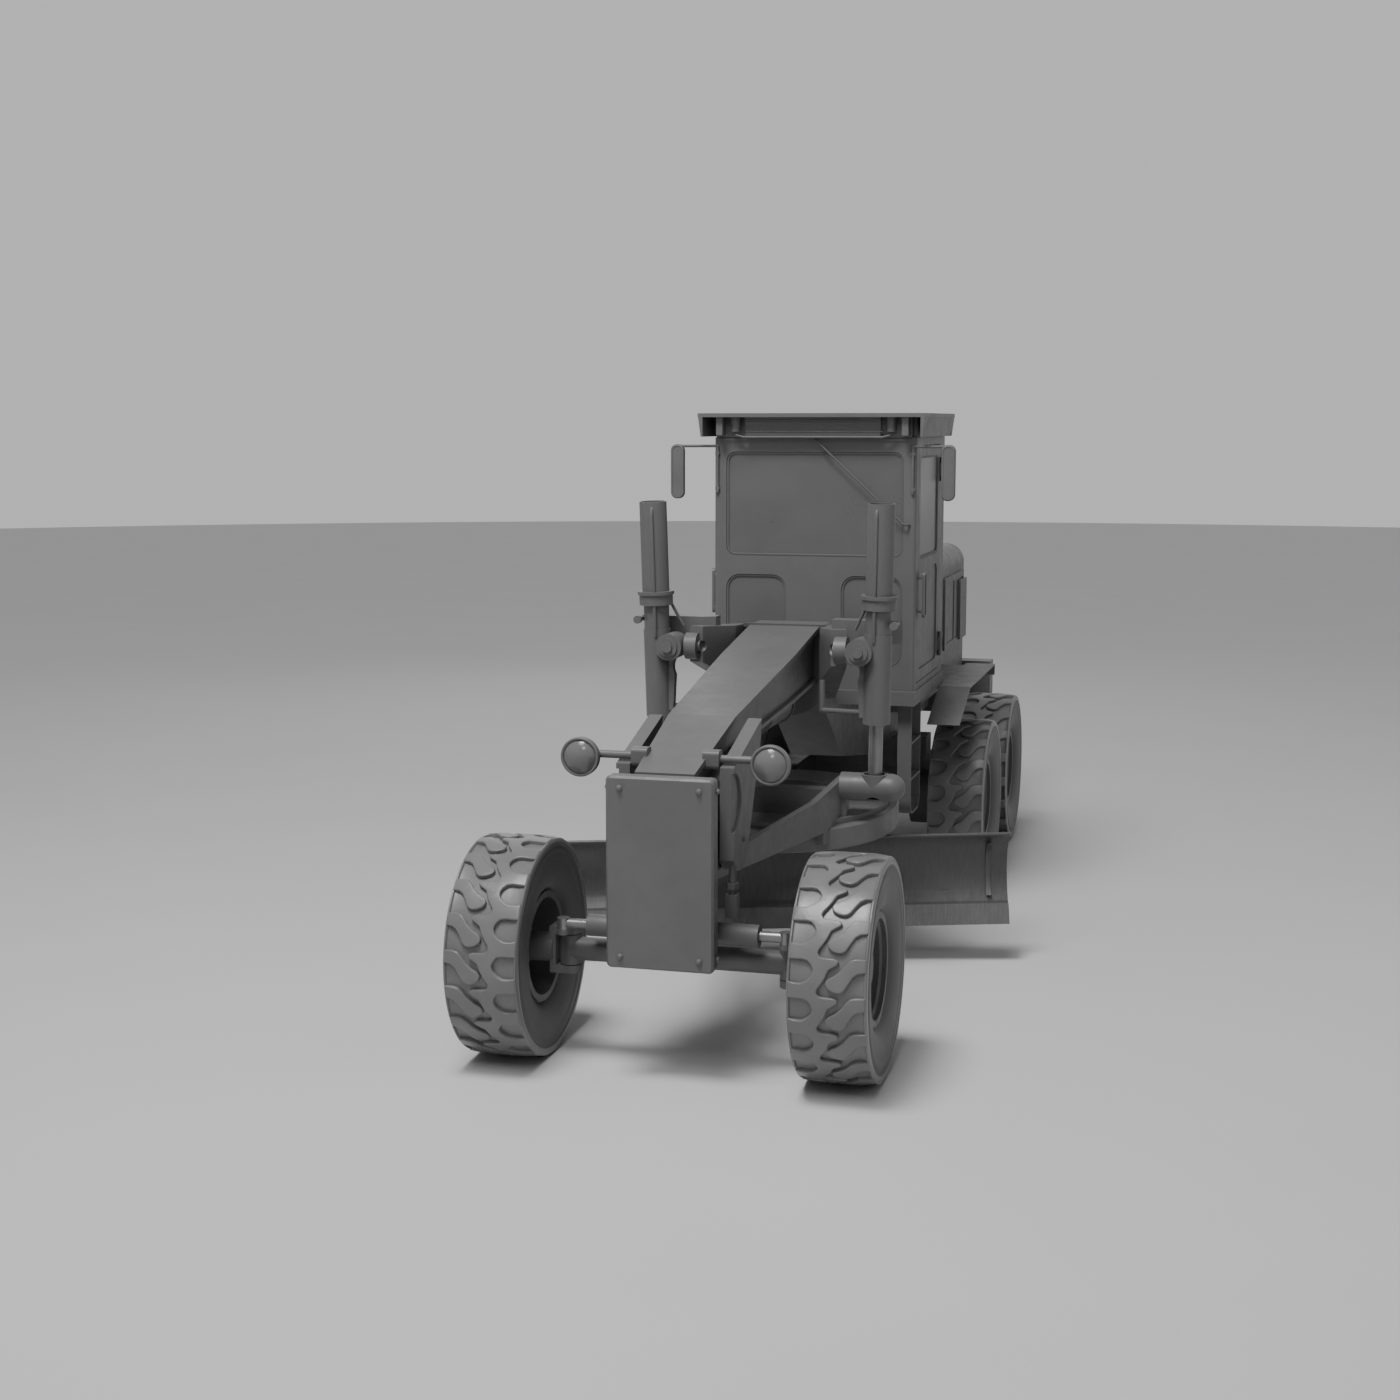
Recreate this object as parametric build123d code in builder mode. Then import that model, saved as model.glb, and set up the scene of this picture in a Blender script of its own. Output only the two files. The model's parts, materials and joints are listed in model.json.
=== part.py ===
from build123d import *
import os
from math import atan2, cos, degrees, radians, sin, sqrt

os.makedirs("parts", exist_ok=True)

# Main layout, lengths in mm, the front of the machine faces -Y
LENGTH = 8660.0
TYRE_R = 630.0
NOSE_AHEAD = 408.0
AXLE_Y = -LENGTH / 2 + TYRE_R
BUMPER_Y = LENGTH / 2
TANDEM_FRONT_Y = AXLE_Y + 5250.0
TANDEM_REAR_Y = AXLE_Y + 6800.0
RUN = 5.0
SEAT = 0.3

# Wheels
TYRE_W = 430.0
TYRE_BEAD_R = 292.0
TYRE_PITCHES = 19
TREAD_HALF = 160.0
SHOULDER_R = TYRE_R - 75.0
POCKET_IN = 95.0
POCKET_DEEP = 26.0
RIM_W = 300.0
RIM_WALL = 14.0
RIM_DISC_T = 22.0
HUB_R = 105.0
STUDS = 10
STUD_PCD = 270.0
STUD_R = 13.0
FRONT_TRACK_HALF = 960.0
REAR_TRACK_HALF = 885.0
WHEEL_BORE_R = 45.0
RIM_DISC_OUT = 70.0
HUB_FACE = 120.0
HUB_SEAT = 70.0
HUB_INNER = 60.0

# Front axle and steering
AXLE_Z = TYRE_R
AXLE_TUBE_R = 67.0
KINGPIN_X = 640.0
KINGPIN_R = 34.0
KINGPIN_H = 300.0
FORK_GAP = 170.0
FORK_T = 44.0
STEER_Z = AXLE_Z + 175.0
STEER_BARREL_R = 62.0
STEER_ROD_R = 30.0
STEER_Y = -130.0
STEER_IN_X = 160.0
STEER_BARREL_LEN = 341.0
STEER_PISTON_X = 323.0
STEER_EYE_R = 36.0
STEER_EYE_H = 66.0

# Head, front plate and lamps
PLATE_HALF_W = 302.0
PLATE_T = 90.0
PLATE_LOW = 648.0
PLATE_TOP = 1707.0
PLATE_ROUND = 28.0
PLATE_BOLT_R = 11.0
PLATE_EDGE = 12.0
PLATE_BOLT_X = 222.0
PLATE_BOLT_Z = 464.5
HEAD_HALF_W = 240.0
HEAD_LOW = 1145.0
EAR_T = 80.0
EAR_GAP = 16.0
EAR_SUNK = 16.0
EAR_DISH_R = 165.0
EAR_DISH_Z = 1527.0
VALVE_X = 318.0
VALVE_LOW = 885.0
VALVE_H = 130.0
LAMP_X = 541.0
LAMP_Z = 1751.0
LAMP_R = 110.0
LAMP_DEPTH = 120.0
LAMP_BAR_R = 22.0
LAMP_FACE_Y = AXLE_Y - 127.0
LAMP_BAR_Y = AXLE_Y - 58.0

# Beam
BEAM_HALF_W = 240.0
BEAM_BEND_HALF = 200.0
BEAM_FRONT_HALF = 168.0
BEAM_WIDE_Y = AXLE_Y + 1850.0
BEAM_LIP = 40.0
SHELF_OUT = 28.0
SHELF_T = 24.0
BEAM_PLATE_T = 30.0
BEAM_FRONT_Y = AXLE_Y - 300.0
BEAM_BEND_Y = AXLE_Y + 480.0
BEAM_END_Y = AXLE_Y + 2620.0
BEAM_FRONT_Z = 1715.0
BEAM_BEND_Z = 1922.0
BEAM_END_Z = 2235.0
BEAM_DEPTH_FRONT = 180.0
BEAM_DEPTH_END = 350.0
BEAM_FLANGE_T = 14.0
BEAM_FLANGE_OUT = 45.0
LAMP_BLOCK_OUT = 10.0
LAMP_BLOCK_IN = 158.0
HOUSING_R = 122.0
HOUSING_Z = 1742.0
HOUSING_REAR_Y = AXLE_Y + 2330.0
HOUSING_LEN = 560.0

# Lift collar, arms and cylinders
COLLAR_R = 360.0
COLLAR_FLAT_Z = 2242.0
COLLAR_LEN = 300.0
COLLAR_Y = BEAM_END_Y
COLLAR_Z = 1980.0
LIFT_X = 733.0
LIFT_Y = AXLE_Y + 2074.0
LEAN_OUT = 0.0199
LEAN_AHEAD = 0.0405
BOSS_X = 627.0
BOSS_Z = 2138.0
BOSS_R = 87.0
TUBE_R = 89.0
TUBE_BORE_R = 78.0
TUBE_TOP = 3080.0
TUBE_LOW = 1670.0
CLAMP_R = 110.0
CLAMP_LIP = 10.0
CLAMP_H = 90.0
NECK_R = 83.0
SEAM_R = 9.0
PIPE_R = 17.0
KNOB_X = 845.0
LUG_Z = 2165.0
LUG_H = 150.0
CLAMP_Z = 2452.0
LIFT_ROD_R = 46.0
LIFT_BALL_Z = 1250.0
LIFT_BALL_R = 58.0
LIFT_PIN_R = 36.0
PISTON_Z = 2150.0
PISTON_H = 80.0
EYE_X = 495.0
EYE_T = 80.0
ARM_ROOT = (190.0, 500.0, 1975.0)
ARM_TIP = (104.0, 235.0, 2150.0)

# Drawbar, circle and blade
DRAW_PIVOT_Y = AXLE_Y + 60.0
DRAW_PIVOT_Z = 1040.0
DRAW_BALL_R = 90.0
DRAW_PIN_R = 34.0
DRAW_TILT = 4.0
CIRCLE_Y = AXLE_Y + 2550.0
CIRCLE_Z = 1050.0
CIRCLE_R = 790.0
CIRCLE_RING_W = 120.0
CIRCLE_H = 150.0
DRAW_FLOOR_T = 36.0
DRAW_FLOOR_R = 730.0
DRAW_HOLE_R = 420.0
CIRCLE_PLAY = 0.5
DRAW_ARM_T = 44.0
SOCKET_R = 92.0
SOCKET_BORE_R = 74.0
SOCKET_NECK_R = 71.0
SOCKET_LIP = 20.0
SOCKET_END_X = 822.0
BLADE_YAW = 15.5
BLADE_LEN = 3080.0
BLADE_SIDE = -45.0
BLADE_H = 600.0
BLADE_TOP_W = -180.0
BLADE_T = 26.0
BLADE_SET = 280.0
EDGE_H = 140.0
EDGE_T = 22.0
RAIL_LEN = 2300.0
RAIL_W = 50.0
BRACKET_U = 560.0
BRACKET_T = 60.0
BRACKET_FRONT = 72.0
BRACKET_NOSE = -185.0
BRACKET_TAIL = 835.0
BRACKET_BACK = 190.0
CIRCLE_CHAMFER = 10.0
STRIP_W = 32.0
STRIP_IN = 146.0
STRIP_PROUD = 11.0
LIP_W = 26.0
RAIL_A = 125.0
RAIL_PLAY = 0.4
RAIL_TOP_W = -320.0
RAIL_LOW_W = -600.0
RAIL_FEET = {RAIL_TOP_W: 38.0, RAIL_LOW_W: 8.0}
EDGE_TOE = (-78.0, -755.0)

# Cab
CAB_HALF_W = 732.0
CAB_FRONT_Y = AXLE_Y + 3530.0
CAB_REAR_Y = AXLE_Y + 4890.0
CAB_LOW = 1690.0
ROOF_TOP = 3652.0
ROOF_H = 170.0
CAB_TOP = ROOF_TOP - ROOF_H
CAB_H = CAB_TOP - CAB_LOW
CAB_WALL = 50.0
FLOOR_T = 100.0
PLATFORM_HALF_W = 745.0
ROOF_HALF_W = 815.0
ROOF_FRONT_Y = AXLE_Y + 3370.0
ROOF_REAR_Y = AXLE_Y + 4800.0
ROOF_PLATE = 28.0
ROOF_SIDE = 26.0
ROOF_LEAN = 22.0
ROOF_BODY_HALF_W = 700.0
VENT_HALF_W = 485.0
CORNER_R = 30.0
GLASS_T = 8.0
SCREEN_HALF_W = 643.0
SCREEN_LOW = CAB_LOW + 0.53 * CAB_H
SCREEN_TOP = CAB_TOP - 102.0
PANE_IN = 201.0
PANE_LOW = CAB_LOW + 170.0
PANE_TOP = SCREEN_LOW - 135.0
PANE_ROUND = 100.0
WINDOW_ROUND = 70.0
REAR_PANE_HALF_W = 560.0
DOOR_FRONT_Y = CAB_FRONT_Y + 110.0
DOOR_REAR_Y = CAB_FRONT_Y + 1110.0
DOOR_LOW = 1740.0
DOOR_TOP = CAB_TOP - 62.0
DOOR_GAP = 6.0
DOOR_T = 40.0
DOOR_STILE = 80.0
DOOR_GLASS_LOW = SCREEN_LOW - 20.0
DOOR_GLASS_TOP = DOOR_TOP - 70.0
HANDLE_Z = DOOR_GLASS_LOW - 230.0
DOOR_HINGE_X = CAB_HALF_W + 18.0
HINGE_H = 90.0
HINGE_ZS = (DOOR_LOW + 180.0, DOOR_TOP - 180.0)
HINGE_KNUCKLES = [z + HINGE_H / 2 + SEAT for z in HINGE_ZS] + [z - HINGE_H - SEAT for z in HINGE_ZS]
MIRROR_X = 972.0
MIRROR_Y = CAB_FRONT_Y - 140.0
MIRROR_Z = SCREEN_TOP - 140.0
MIRROR_W = 98.0
MIRROR_H = 388.0
MIRROR_T = 40.0
MIRROR_TUBE_R = 10.0
MIRROR_FOOT = 330.0
SEAT_Y = CAB_FRONT_Y + 860.0

# Hood, rear frame and fenders
HOOD_HALF_W = 500.0
HOOD_FRONT_Y = CAB_REAR_Y + 20.0
HOOD_REAR_Y = BUMPER_Y - 270.0
PANEL_PROUD = 18.0
PANEL_SUNK = 8.0
LOUVRE_PROUD = 38.0
HOOD_LOW = 1420.0
HOOD_TOP = 2500.0
HOOD_WALL = 30.0
HOOD_ROUND = 160.0
FRAME_HALF_W = 300.0
FRAME_LOW = 1000.0
FRAME_TOP = 1400.0
CASE_HALF_X = 560.0
CASE_W = 190.0
CASE_H = 440.0
FENDER_IN = PLATFORM_HALF_W + RUN
FENDER_OUT = 990.0
FENDER_Z = 1595.0
FENDER_T = 12.0
FLAP_RUN = 570.0
FLAP_DROP = 212.0
FENDER_FRONT_Y = AXLE_Y + 4630.0
FENDER_REAR_Y = AXLE_Y + 6170.0
STACK_X = 0.0
STACK_Y = HOOD_FRONT_Y + 700.0
STACK_R = 60.0
STACK_H = 560.0
TOW_Z = 1120.0
TOW_HALF_W = 90.0
TOW_DEEP = 130.0
TOW_JAW_H = 90.0
TOW_PIN_R = 22.0
LADDER_X = 662.0
LADDER_Y = AXLE_Y + 3800.0
LADDER_W = 420.0
LADDER_T = 100.0
LADDER_BAR = 14.0
LADDER_ROUND = 110.0
LADDER_STEP = 262.0
LADDER_LOW = 780.0

# Derived places
LEFT_RIGHT = ((1, "left"), (-1, "right"))
RIM_R = TYRE_BEAD_R - SEAT
BEAD_HALF = RIM_W / 2


def ring_profile(centre, side, points):
    """Draw a closed half section of a wheel: (distance outward, radius) pairs."""
    with BuildSketch(Plane(origin=centre, x_dir=(1, 0, 0), z_dir=(0, 0, 1))) as section:
        with BuildLine():
            Polyline(*[(side * a, r) for a, r in points], close=True)
        make_face()
    return section.sketch


WHEELS = (
    ("front", FRONT_TRACK_HALF, AXLE_Y),
    ("middle", REAR_TRACK_HALF, TANDEM_FRONT_Y),
    ("rear", REAR_TRACK_HALF, TANDEM_REAR_Y),
)

half = TYRE_W / 2
step_angle = 360 / (2 * TYRE_PITCHES)
tread_sector = (
    (-BEAD_HALF, TYRE_BEAD_R),
    (-BEAD_HALF, TYRE_BEAD_R + 34),
    (-half + 8, SHOULDER_R - 150),
    (-half, SHOULDER_R),
    (-POCKET_IN, TYRE_R - POCKET_DEEP),
    (-POCKET_IN + 12, TYRE_R),
    (TREAD_HALF, TYRE_R),
    (half, SHOULDER_R),
    (half - 8, SHOULDER_R - 150),
    (BEAD_HALF, TYRE_BEAD_R + 34),
    (BEAD_HALF, TYRE_BEAD_R),
)
sectors = []
for side in (1, -1):
    with BuildPart() as sector:
        with BuildSketch(Plane.XZ):
            with BuildLine():
                Polyline(*[(side * a, r) for a, r in tread_sector], close=True)
            make_face()
        extrude(amount=TYRE_R / 8, both=True)
        with BuildSketch(Plane.YZ):
            with BuildLine():
                wedge_top = 1.1 * TYRE_R
                wedge_half = wedge_top * sin(radians(step_angle / 2)) / cos(radians(step_angle / 2))
                Polyline((0, 0), (wedge_half, wedge_top), (-wedge_half, wedge_top), close=True)
            make_face()
        extrude(amount=TYRE_W, both=True, mode=Mode.INTERSECT)
    sectors.append(sector.part)
with BuildPart() as tyre_ring:
    add([sectors[k % 2].rotate(Axis.X, k * step_angle) for k in range(2 * TYRE_PITCHES)])
flange_in = BEAD_HALF + SEAT
flange_out = flange_in + RIM_WALL
rim_points = (
    (-flange_out, RIM_R - RIM_WALL),
    (-flange_out, TYRE_BEAD_R + 24),
    (-flange_in, TYRE_BEAD_R + 24),
    (-flange_in, RIM_R),
    (flange_in, RIM_R),
    (flange_in, TYRE_BEAD_R + 24),
    (flange_out, TYRE_BEAD_R + 24),
    (flange_out, RIM_R - RIM_WALL),
    (flange_out - 26, RIM_R - RIM_WALL),
    (flange_out - 40, RIM_R - RIM_WALL - 14),
    (RIM_DISC_OUT + 14, RIM_R - RIM_WALL - 14),
    (RIM_DISC_OUT, RIM_R - RIM_WALL - 34),
    (RIM_DISC_OUT - 30, HUB_R + 20),
    (RIM_DISC_OUT - 30, HUB_R),
    (HUB_FACE, HUB_R),
    (HUB_FACE, 0),
    (HUB_SEAT, 0),
    (HUB_SEAT, WHEEL_BORE_R),
    (-HUB_INNER, WHEEL_BORE_R),
    (-HUB_INNER, HUB_R),
    (RIM_DISC_OUT - 30 - RIM_DISC_T, HUB_R),
    (RIM_DISC_OUT - 30 - RIM_DISC_T, HUB_R + 26),
    (RIM_DISC_OUT - RIM_DISC_T, RIM_R - RIM_WALL),
)

for axle, track, wheel_y in WHEELS:
    for side, tag in LEFT_RIGHT:
        hub = Vector(side * track, wheel_y, AXLE_Z)
        turn_axis = Axis(hub, (1, 0, 0))
        with BuildPart() as tyre:
            with Locations(hub):
                add(tyre_ring.part)
        tyre.part.label = f"tyre_{axle}_{tag}"
        export_step(tyre.part, f"parts/tyre_{axle}_{tag}.step")

        with BuildPart() as rim:
            add(ring_profile(hub, side, rim_points))
            revolve(axis=turn_axis)
            stud_face = Plane(origin=hub + Vector(side * (RIM_DISC_OUT - 34), 0, 0), x_dir=(0, 1, 0), z_dir=(side, 0, 0))
            with BuildSketch(stud_face):
                with PolarLocations(STUD_PCD / 2, STUDS):
                    Circle(STUD_R)
            extrude(amount=26)
        rim.part.label = f"rim_{axle}_{tag}"
        export_step(rim.part, f"parts/rim_{axle}_{tag}.step")

# Front axle with steering barrels
axle_eye_r = KINGPIN_R + 30
with BuildPart() as front_axle:
    with BuildSketch(Plane.YZ):
        with Locations((AXLE_Y, AXLE_Z)):
            Circle(AXLE_TUBE_R)
    extrude(amount=KINGPIN_X, both=True)
    with BuildSketch(Plane.XY.offset(AXLE_Z - FORK_GAP / 2)):
        with Locations((KINGPIN_X, AXLE_Y), (-KINGPIN_X, AXLE_Y)):
            Circle(axle_eye_r)
    extrude(amount=FORK_GAP)
    with BuildSketch(Plane.XY.offset(AXLE_Z - FORK_GAP)):
        with Locations((KINGPIN_X, AXLE_Y), (-KINGPIN_X, AXLE_Y)):
            Circle(KINGPIN_R + SEAT)
    extrude(amount=2 * FORK_GAP, mode=Mode.SUBTRACT)
    with BuildSketch(Plane.XY.offset(AXLE_Z - AXLE_TUBE_R)):
        with Locations((0, AXLE_Y)):
            Rectangle(220, 200)
    extrude(amount=2 * AXLE_TUBE_R + 30)
    for side, tag in LEFT_RIGHT:
        with BuildSketch(Plane.XY.offset(AXLE_Z)):
            with Locations((side * (STEER_IN_X - 20), AXLE_Y + STEER_Y / 2)):
                Rectangle(40, -STEER_Y + 60)
        extrude(amount=STEER_Z - AXLE_Z + STEER_BARREL_R)
        barrel_start = Plane(origin=(side * (STEER_IN_X - 10), AXLE_Y + STEER_Y, STEER_Z), x_dir=(0, 1, 0), z_dir=(side, 0, 0))
        with BuildSketch(barrel_start):
            Circle(STEER_BARREL_R)
        extrude(amount=STEER_BARREL_LEN)
        with BuildSketch(barrel_start.offset(40)):
            Circle(STEER_BARREL_R - 12)
        extrude(amount=STEER_BARREL_LEN - 60, mode=Mode.SUBTRACT)
        with BuildSketch(barrel_start.offset(40)):
            Circle(STEER_ROD_R + SEAT)
        extrude(amount=STEER_BARREL_LEN, mode=Mode.SUBTRACT)
front_axle.part.label = "front_axle"
export_step(front_axle.part, "parts/front_axle.step")

for side, tag in LEFT_RIGHT:
    rod_plane = Plane(origin=(side * STEER_PISTON_X, AXLE_Y + STEER_Y, STEER_Z), x_dir=(0, 1, 0), z_dir=(side, 0, 0))
    rod_len = KINGPIN_X - STEER_PISTON_X
    with BuildPart() as steer_rod:
        with BuildSketch(rod_plane):
            Circle(STEER_ROD_R)
        extrude(amount=rod_len)
        with BuildSketch(rod_plane):
            Circle(STEER_BARREL_R - 12 - SEAT)
        extrude(amount=24)
        with BuildSketch(Plane.XY.offset(STEER_Z - STEER_EYE_H / 2)):
            with Locations((side * KINGPIN_X, AXLE_Y + STEER_Y)):
                Circle(STEER_EYE_R)
        extrude(amount=STEER_EYE_H)
    steer_rod.part.label = f"steer_rod_{tag}"
    export_step(steer_rod.part, f"parts/steer_rod_{tag}.step")

    fork_mid_x = KINGPIN_X - axle_eye_r
    upper_z = AXLE_Z + FORK_GAP / 2 + RUN
    lower_z = AXLE_Z - FORK_GAP / 2 - RUN - FORK_T
    web_x = KINGPIN_X + axle_eye_r + RUN + 3
    web_t = 36.0
    arm_top = STEER_Z - STEER_EYE_H / 2 - 1
    with BuildPart() as knuckle:
        with BuildSketch(Plane.XY.offset(lower_z)):
            with Locations((side * KINGPIN_X, AXLE_Y)):
                Circle(axle_eye_r)
            with Locations((side * (KINGPIN_X + web_x + web_t) / 2, AXLE_Y)):
                Rectangle(web_x + web_t - KINGPIN_X, 2 * axle_eye_r)
        extrude(amount=FORK_T)
        with BuildSketch(Plane.XY.offset(upper_z)):
            with Locations((side * KINGPIN_X, AXLE_Y)):
                Circle(axle_eye_r)
            with Locations((side * (KINGPIN_X + web_x + web_t) / 2, AXLE_Y)):
                Rectangle(web_x + web_t - KINGPIN_X, 2 * axle_eye_r)
        extrude(amount=FORK_T)
        with BuildSketch(Plane.XY.offset(lower_z)):
            with Locations((side * (web_x + web_t / 2), AXLE_Y)):
                Rectangle(web_t, 2 * axle_eye_r)
        extrude(amount=upper_z + FORK_T - lower_z)
        with BuildSketch(Plane.XY.offset(lower_z - 14)):
            with Locations((side * KINGPIN_X, AXLE_Y)):
                Circle(KINGPIN_R)
        extrude(amount=upper_z + FORK_T - lower_z + 28)
        with BuildSketch(Plane.XY.offset(upper_z + FORK_T / 2)):
            with Locations((side * KINGPIN_X, AXLE_Y + STEER_Y / 2)):
                Rectangle(70, -STEER_Y)
            with Locations((side * KINGPIN_X, AXLE_Y + STEER_Y)):
                Circle(STEER_EYE_R)
        extrude(amount=arm_top - upper_z - FORK_T / 2)
        spindle = Plane(origin=(side * (web_x + web_t / 2), AXLE_Y, AXLE_Z), x_dir=(0, 1, 0), z_dir=(side, 0, 0))
        with BuildSketch(spindle):
            Circle(WHEEL_BORE_R - SEAT)
        extrude(amount=FRONT_TRACK_HALF + HUB_SEAT - 2 - web_x - web_t / 2)
        with BuildSketch(spindle):
            Circle(HUB_R - 20)
        extrude(amount=FRONT_TRACK_HALF - HUB_INNER - RUN - web_x - web_t / 2)
    knuckle.part.label = f"knuckle_{tag}"
    export_step(knuckle.part, f"parts/knuckle_{tag}.step")

# Head with ear plates and drawbar lugs
head_back_y = AXLE_Y + 450
with BuildPart() as head:
    with BuildSketch(Plane.YZ):
        with BuildLine():
            Polyline(
                (AXLE_Y - NOSE_AHEAD + PLATE_T, HEAD_LOW),
                (AXLE_Y - NOSE_AHEAD + PLATE_T, BEAM_FRONT_Z - BEAM_DEPTH_FRONT + 60),
                (BEAM_FRONT_Y, BEAM_FRONT_Z - BEAM_DEPTH_FRONT),
                (BEAM_BEND_Y - 30, BEAM_BEND_Z - BEAM_DEPTH_FRONT - 12),
                (head_back_y - 200, HEAD_LOW),
                close=True,
            )
        make_face()
    extrude(amount=HEAD_HALF_W, both=True)
    with BuildSketch(Plane.XY.offset(AXLE_Z + AXLE_TUBE_R + 30)):
        with Locations((0, AXLE_Y - 140)):
            Rectangle(220, 190)
    extrude(amount=HEAD_LOW - AXLE_Z - AXLE_TUBE_R - 30)
    for side in (1, -1):
        ear_in = side * (HEAD_HALF_W + EAR_GAP)
        ear_plane = Plane(origin=(ear_in, 0, 0), x_dir=(0, 1, 0), z_dir=(1, 0, 0))
        with BuildSketch(ear_plane):
            with BuildLine():
                low = (AXLE_Y + 55, 1125)
                e1 = Line((AXLE_Y - 100, 1210), (AXLE_Y - 100, 1722))
                e2 = Line(e1 @ 1, (AXLE_Y + 550, 1905))
                e3 = Line(e2 @ 1, (AXLE_Y + 530, 1800))
                e4 = Line(e3 @ 1, (AXLE_Y + 230, 1230))
                ThreePointArc(e4 @ 1, low, e1 @ 0)
            make_face()
        extrude(amount=side * EAR_T)
        with BuildSketch(ear_plane.offset(side * (EAR_T - EAR_SUNK))):
            with Locations((AXLE_Y - 95, EAR_DISH_Z)):
                Circle(EAR_DISH_R)
        extrude(amount=side * EAR_SUNK, mode=Mode.SUBTRACT)
        with BuildSketch(ear_plane.offset(side * (EAR_T - 1))):
            with Locations((AXLE_Y + 115, 1290)):
                Circle(14)
        extrude(amount=side * 15)
        with BuildSketch(Plane.XY.offset(VALVE_LOW)):
            with Locations((side * VALVE_X, AXLE_Y - 55)):
                Rectangle(64, 74)
        extrude(amount=VALVE_H)
        with BuildSketch(Plane.XY.offset(VALVE_LOW + VALVE_H - 10)):
            with Locations((side * VALVE_X, AXLE_Y - 55)):
                Circle(20)
        extrude(amount=1180 - VALVE_LOW - VALVE_H + 10)
        with BuildSketch(Plane.XY.offset(VALVE_LOW + VALVE_H + 28)):
            with Locations((side * VALVE_X, AXLE_Y - 55)):
                RegularPolygon(38, 6)
        extrude(amount=34)
        with BuildSketch(Plane(origin=(side * (HEAD_HALF_W - 10), 0, 0), x_dir=(0, 1, 0), z_dir=(1, 0, 0))):
            with Locations((AXLE_Y + 90, 1400)):
                Circle(70)
        extrude(amount=side * (EAR_GAP + 20))
        lug_plane = Plane(origin=(side * (DRAW_BALL_R + RUN), 0, 0), x_dir=(0, 1, 0), z_dir=(1, 0, 0))
        with BuildSketch(lug_plane):
            with Locations((DRAW_PIVOT_Y, DRAW_PIVOT_Z)):
                Circle(60)
            with Locations((DRAW_PIVOT_Y, (DRAW_PIVOT_Z + HEAD_LOW + 10) / 2)):
                Rectangle(120, HEAD_LOW + 10 - DRAW_PIVOT_Z)
        extrude(amount=side * 40)
    with BuildSketch(Plane.YZ):
        with Locations((DRAW_PIVOT_Y, DRAW_PIVOT_Z)):
            Circle(DRAW_PIN_R)
    extrude(amount=DRAW_BALL_R + RUN + 20, both=True)
head.part.label = "head"
export_step(head.part, "parts/head.step")

# Front plate with its bolts
plate_plane = Plane(origin=(0, AXLE_Y - NOSE_AHEAD, 0), x_dir=(1, 0, 0), z_dir=(0, -1, 0))
plate_mid_z = (PLATE_LOW + PLATE_TOP) / 2
with BuildPart() as front_plate:
    with BuildSketch(plate_plane):
        with Locations((0, plate_mid_z)):
            RectangleRounded(2 * PLATE_HALF_W, PLATE_TOP - PLATE_LOW, PLATE_ROUND)
    extrude(amount=-PLATE_T)
    front_rim = front_plate.faces().sort_by(Axis.Y)[0].edges()
    chamfer(front_rim, PLATE_EDGE)
    with BuildSketch(plate_plane):
        with Locations((0, plate_mid_z)):
            with GridLocations(2 * PLATE_BOLT_X, 2 * PLATE_BOLT_Z, 2, 2):
                Circle(PLATE_BOLT_R)
    extrude(amount=10)
    for side in (1, -1):
        with BuildSketch(Plane.YZ.offset(side * (PLATE_HALF_W - 1))):
            for bolt_z in (PLATE_LOW + 70, PLATE_TOP - 70):
                with Locations((AXLE_Y - NOSE_AHEAD + 62, bolt_z)):
                    Circle(14)
        extrude(amount=side * 13)
front_plate.part.label = "front_plate"
export_step(front_plate.part, "parts/front_plate.step")

# Beam
def beam_edge(drop_front, drop_bend, drop_end):
    """Points along the beam, a given depth below its cover plate."""
    return (
        (BEAM_FRONT_Y, BEAM_FRONT_Z - drop_front),
        (BEAM_BEND_Y, BEAM_BEND_Z - drop_bend),
        (BEAM_END_Y, BEAM_END_Z - drop_end),
    )


def beam_length(lip, depths, tops=(0, 0, 0), first=0):
    """A layer of the beam between two depths below its cover, a lip narrower on each side."""
    widths = (
        (BEAM_FRONT_Y, BEAM_FRONT_HALF - lip),
        (BEAM_BEND_Y, BEAM_BEND_HALF - lip),
        (BEAM_WIDE_Y, BEAM_HALF_W - lip),
        (BEAM_END_Y, BEAM_HALF_W - lip),
    )[first:]
    upper = beam_edge(*tops)[first:]
    lower = beam_edge(*depths)[first:]
    with BuildPart() as length:
        with BuildSketch(Plane.YZ):
            with BuildLine():
                Polyline(*upper, *reversed(lower), close=True)
            make_face()
        extrude(amount=BEAM_HALF_W, both=True)
        with BuildSketch(Plane.XY):
            with BuildLine():
                Polyline(*[(w, y) for y, w in widths], *[(-w, y) for y, w in reversed(widths)], close=True)
            make_face()
        extrude(amount=2 * BEAM_END_Z, mode=Mode.INTERSECT)
    return length.part


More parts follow.
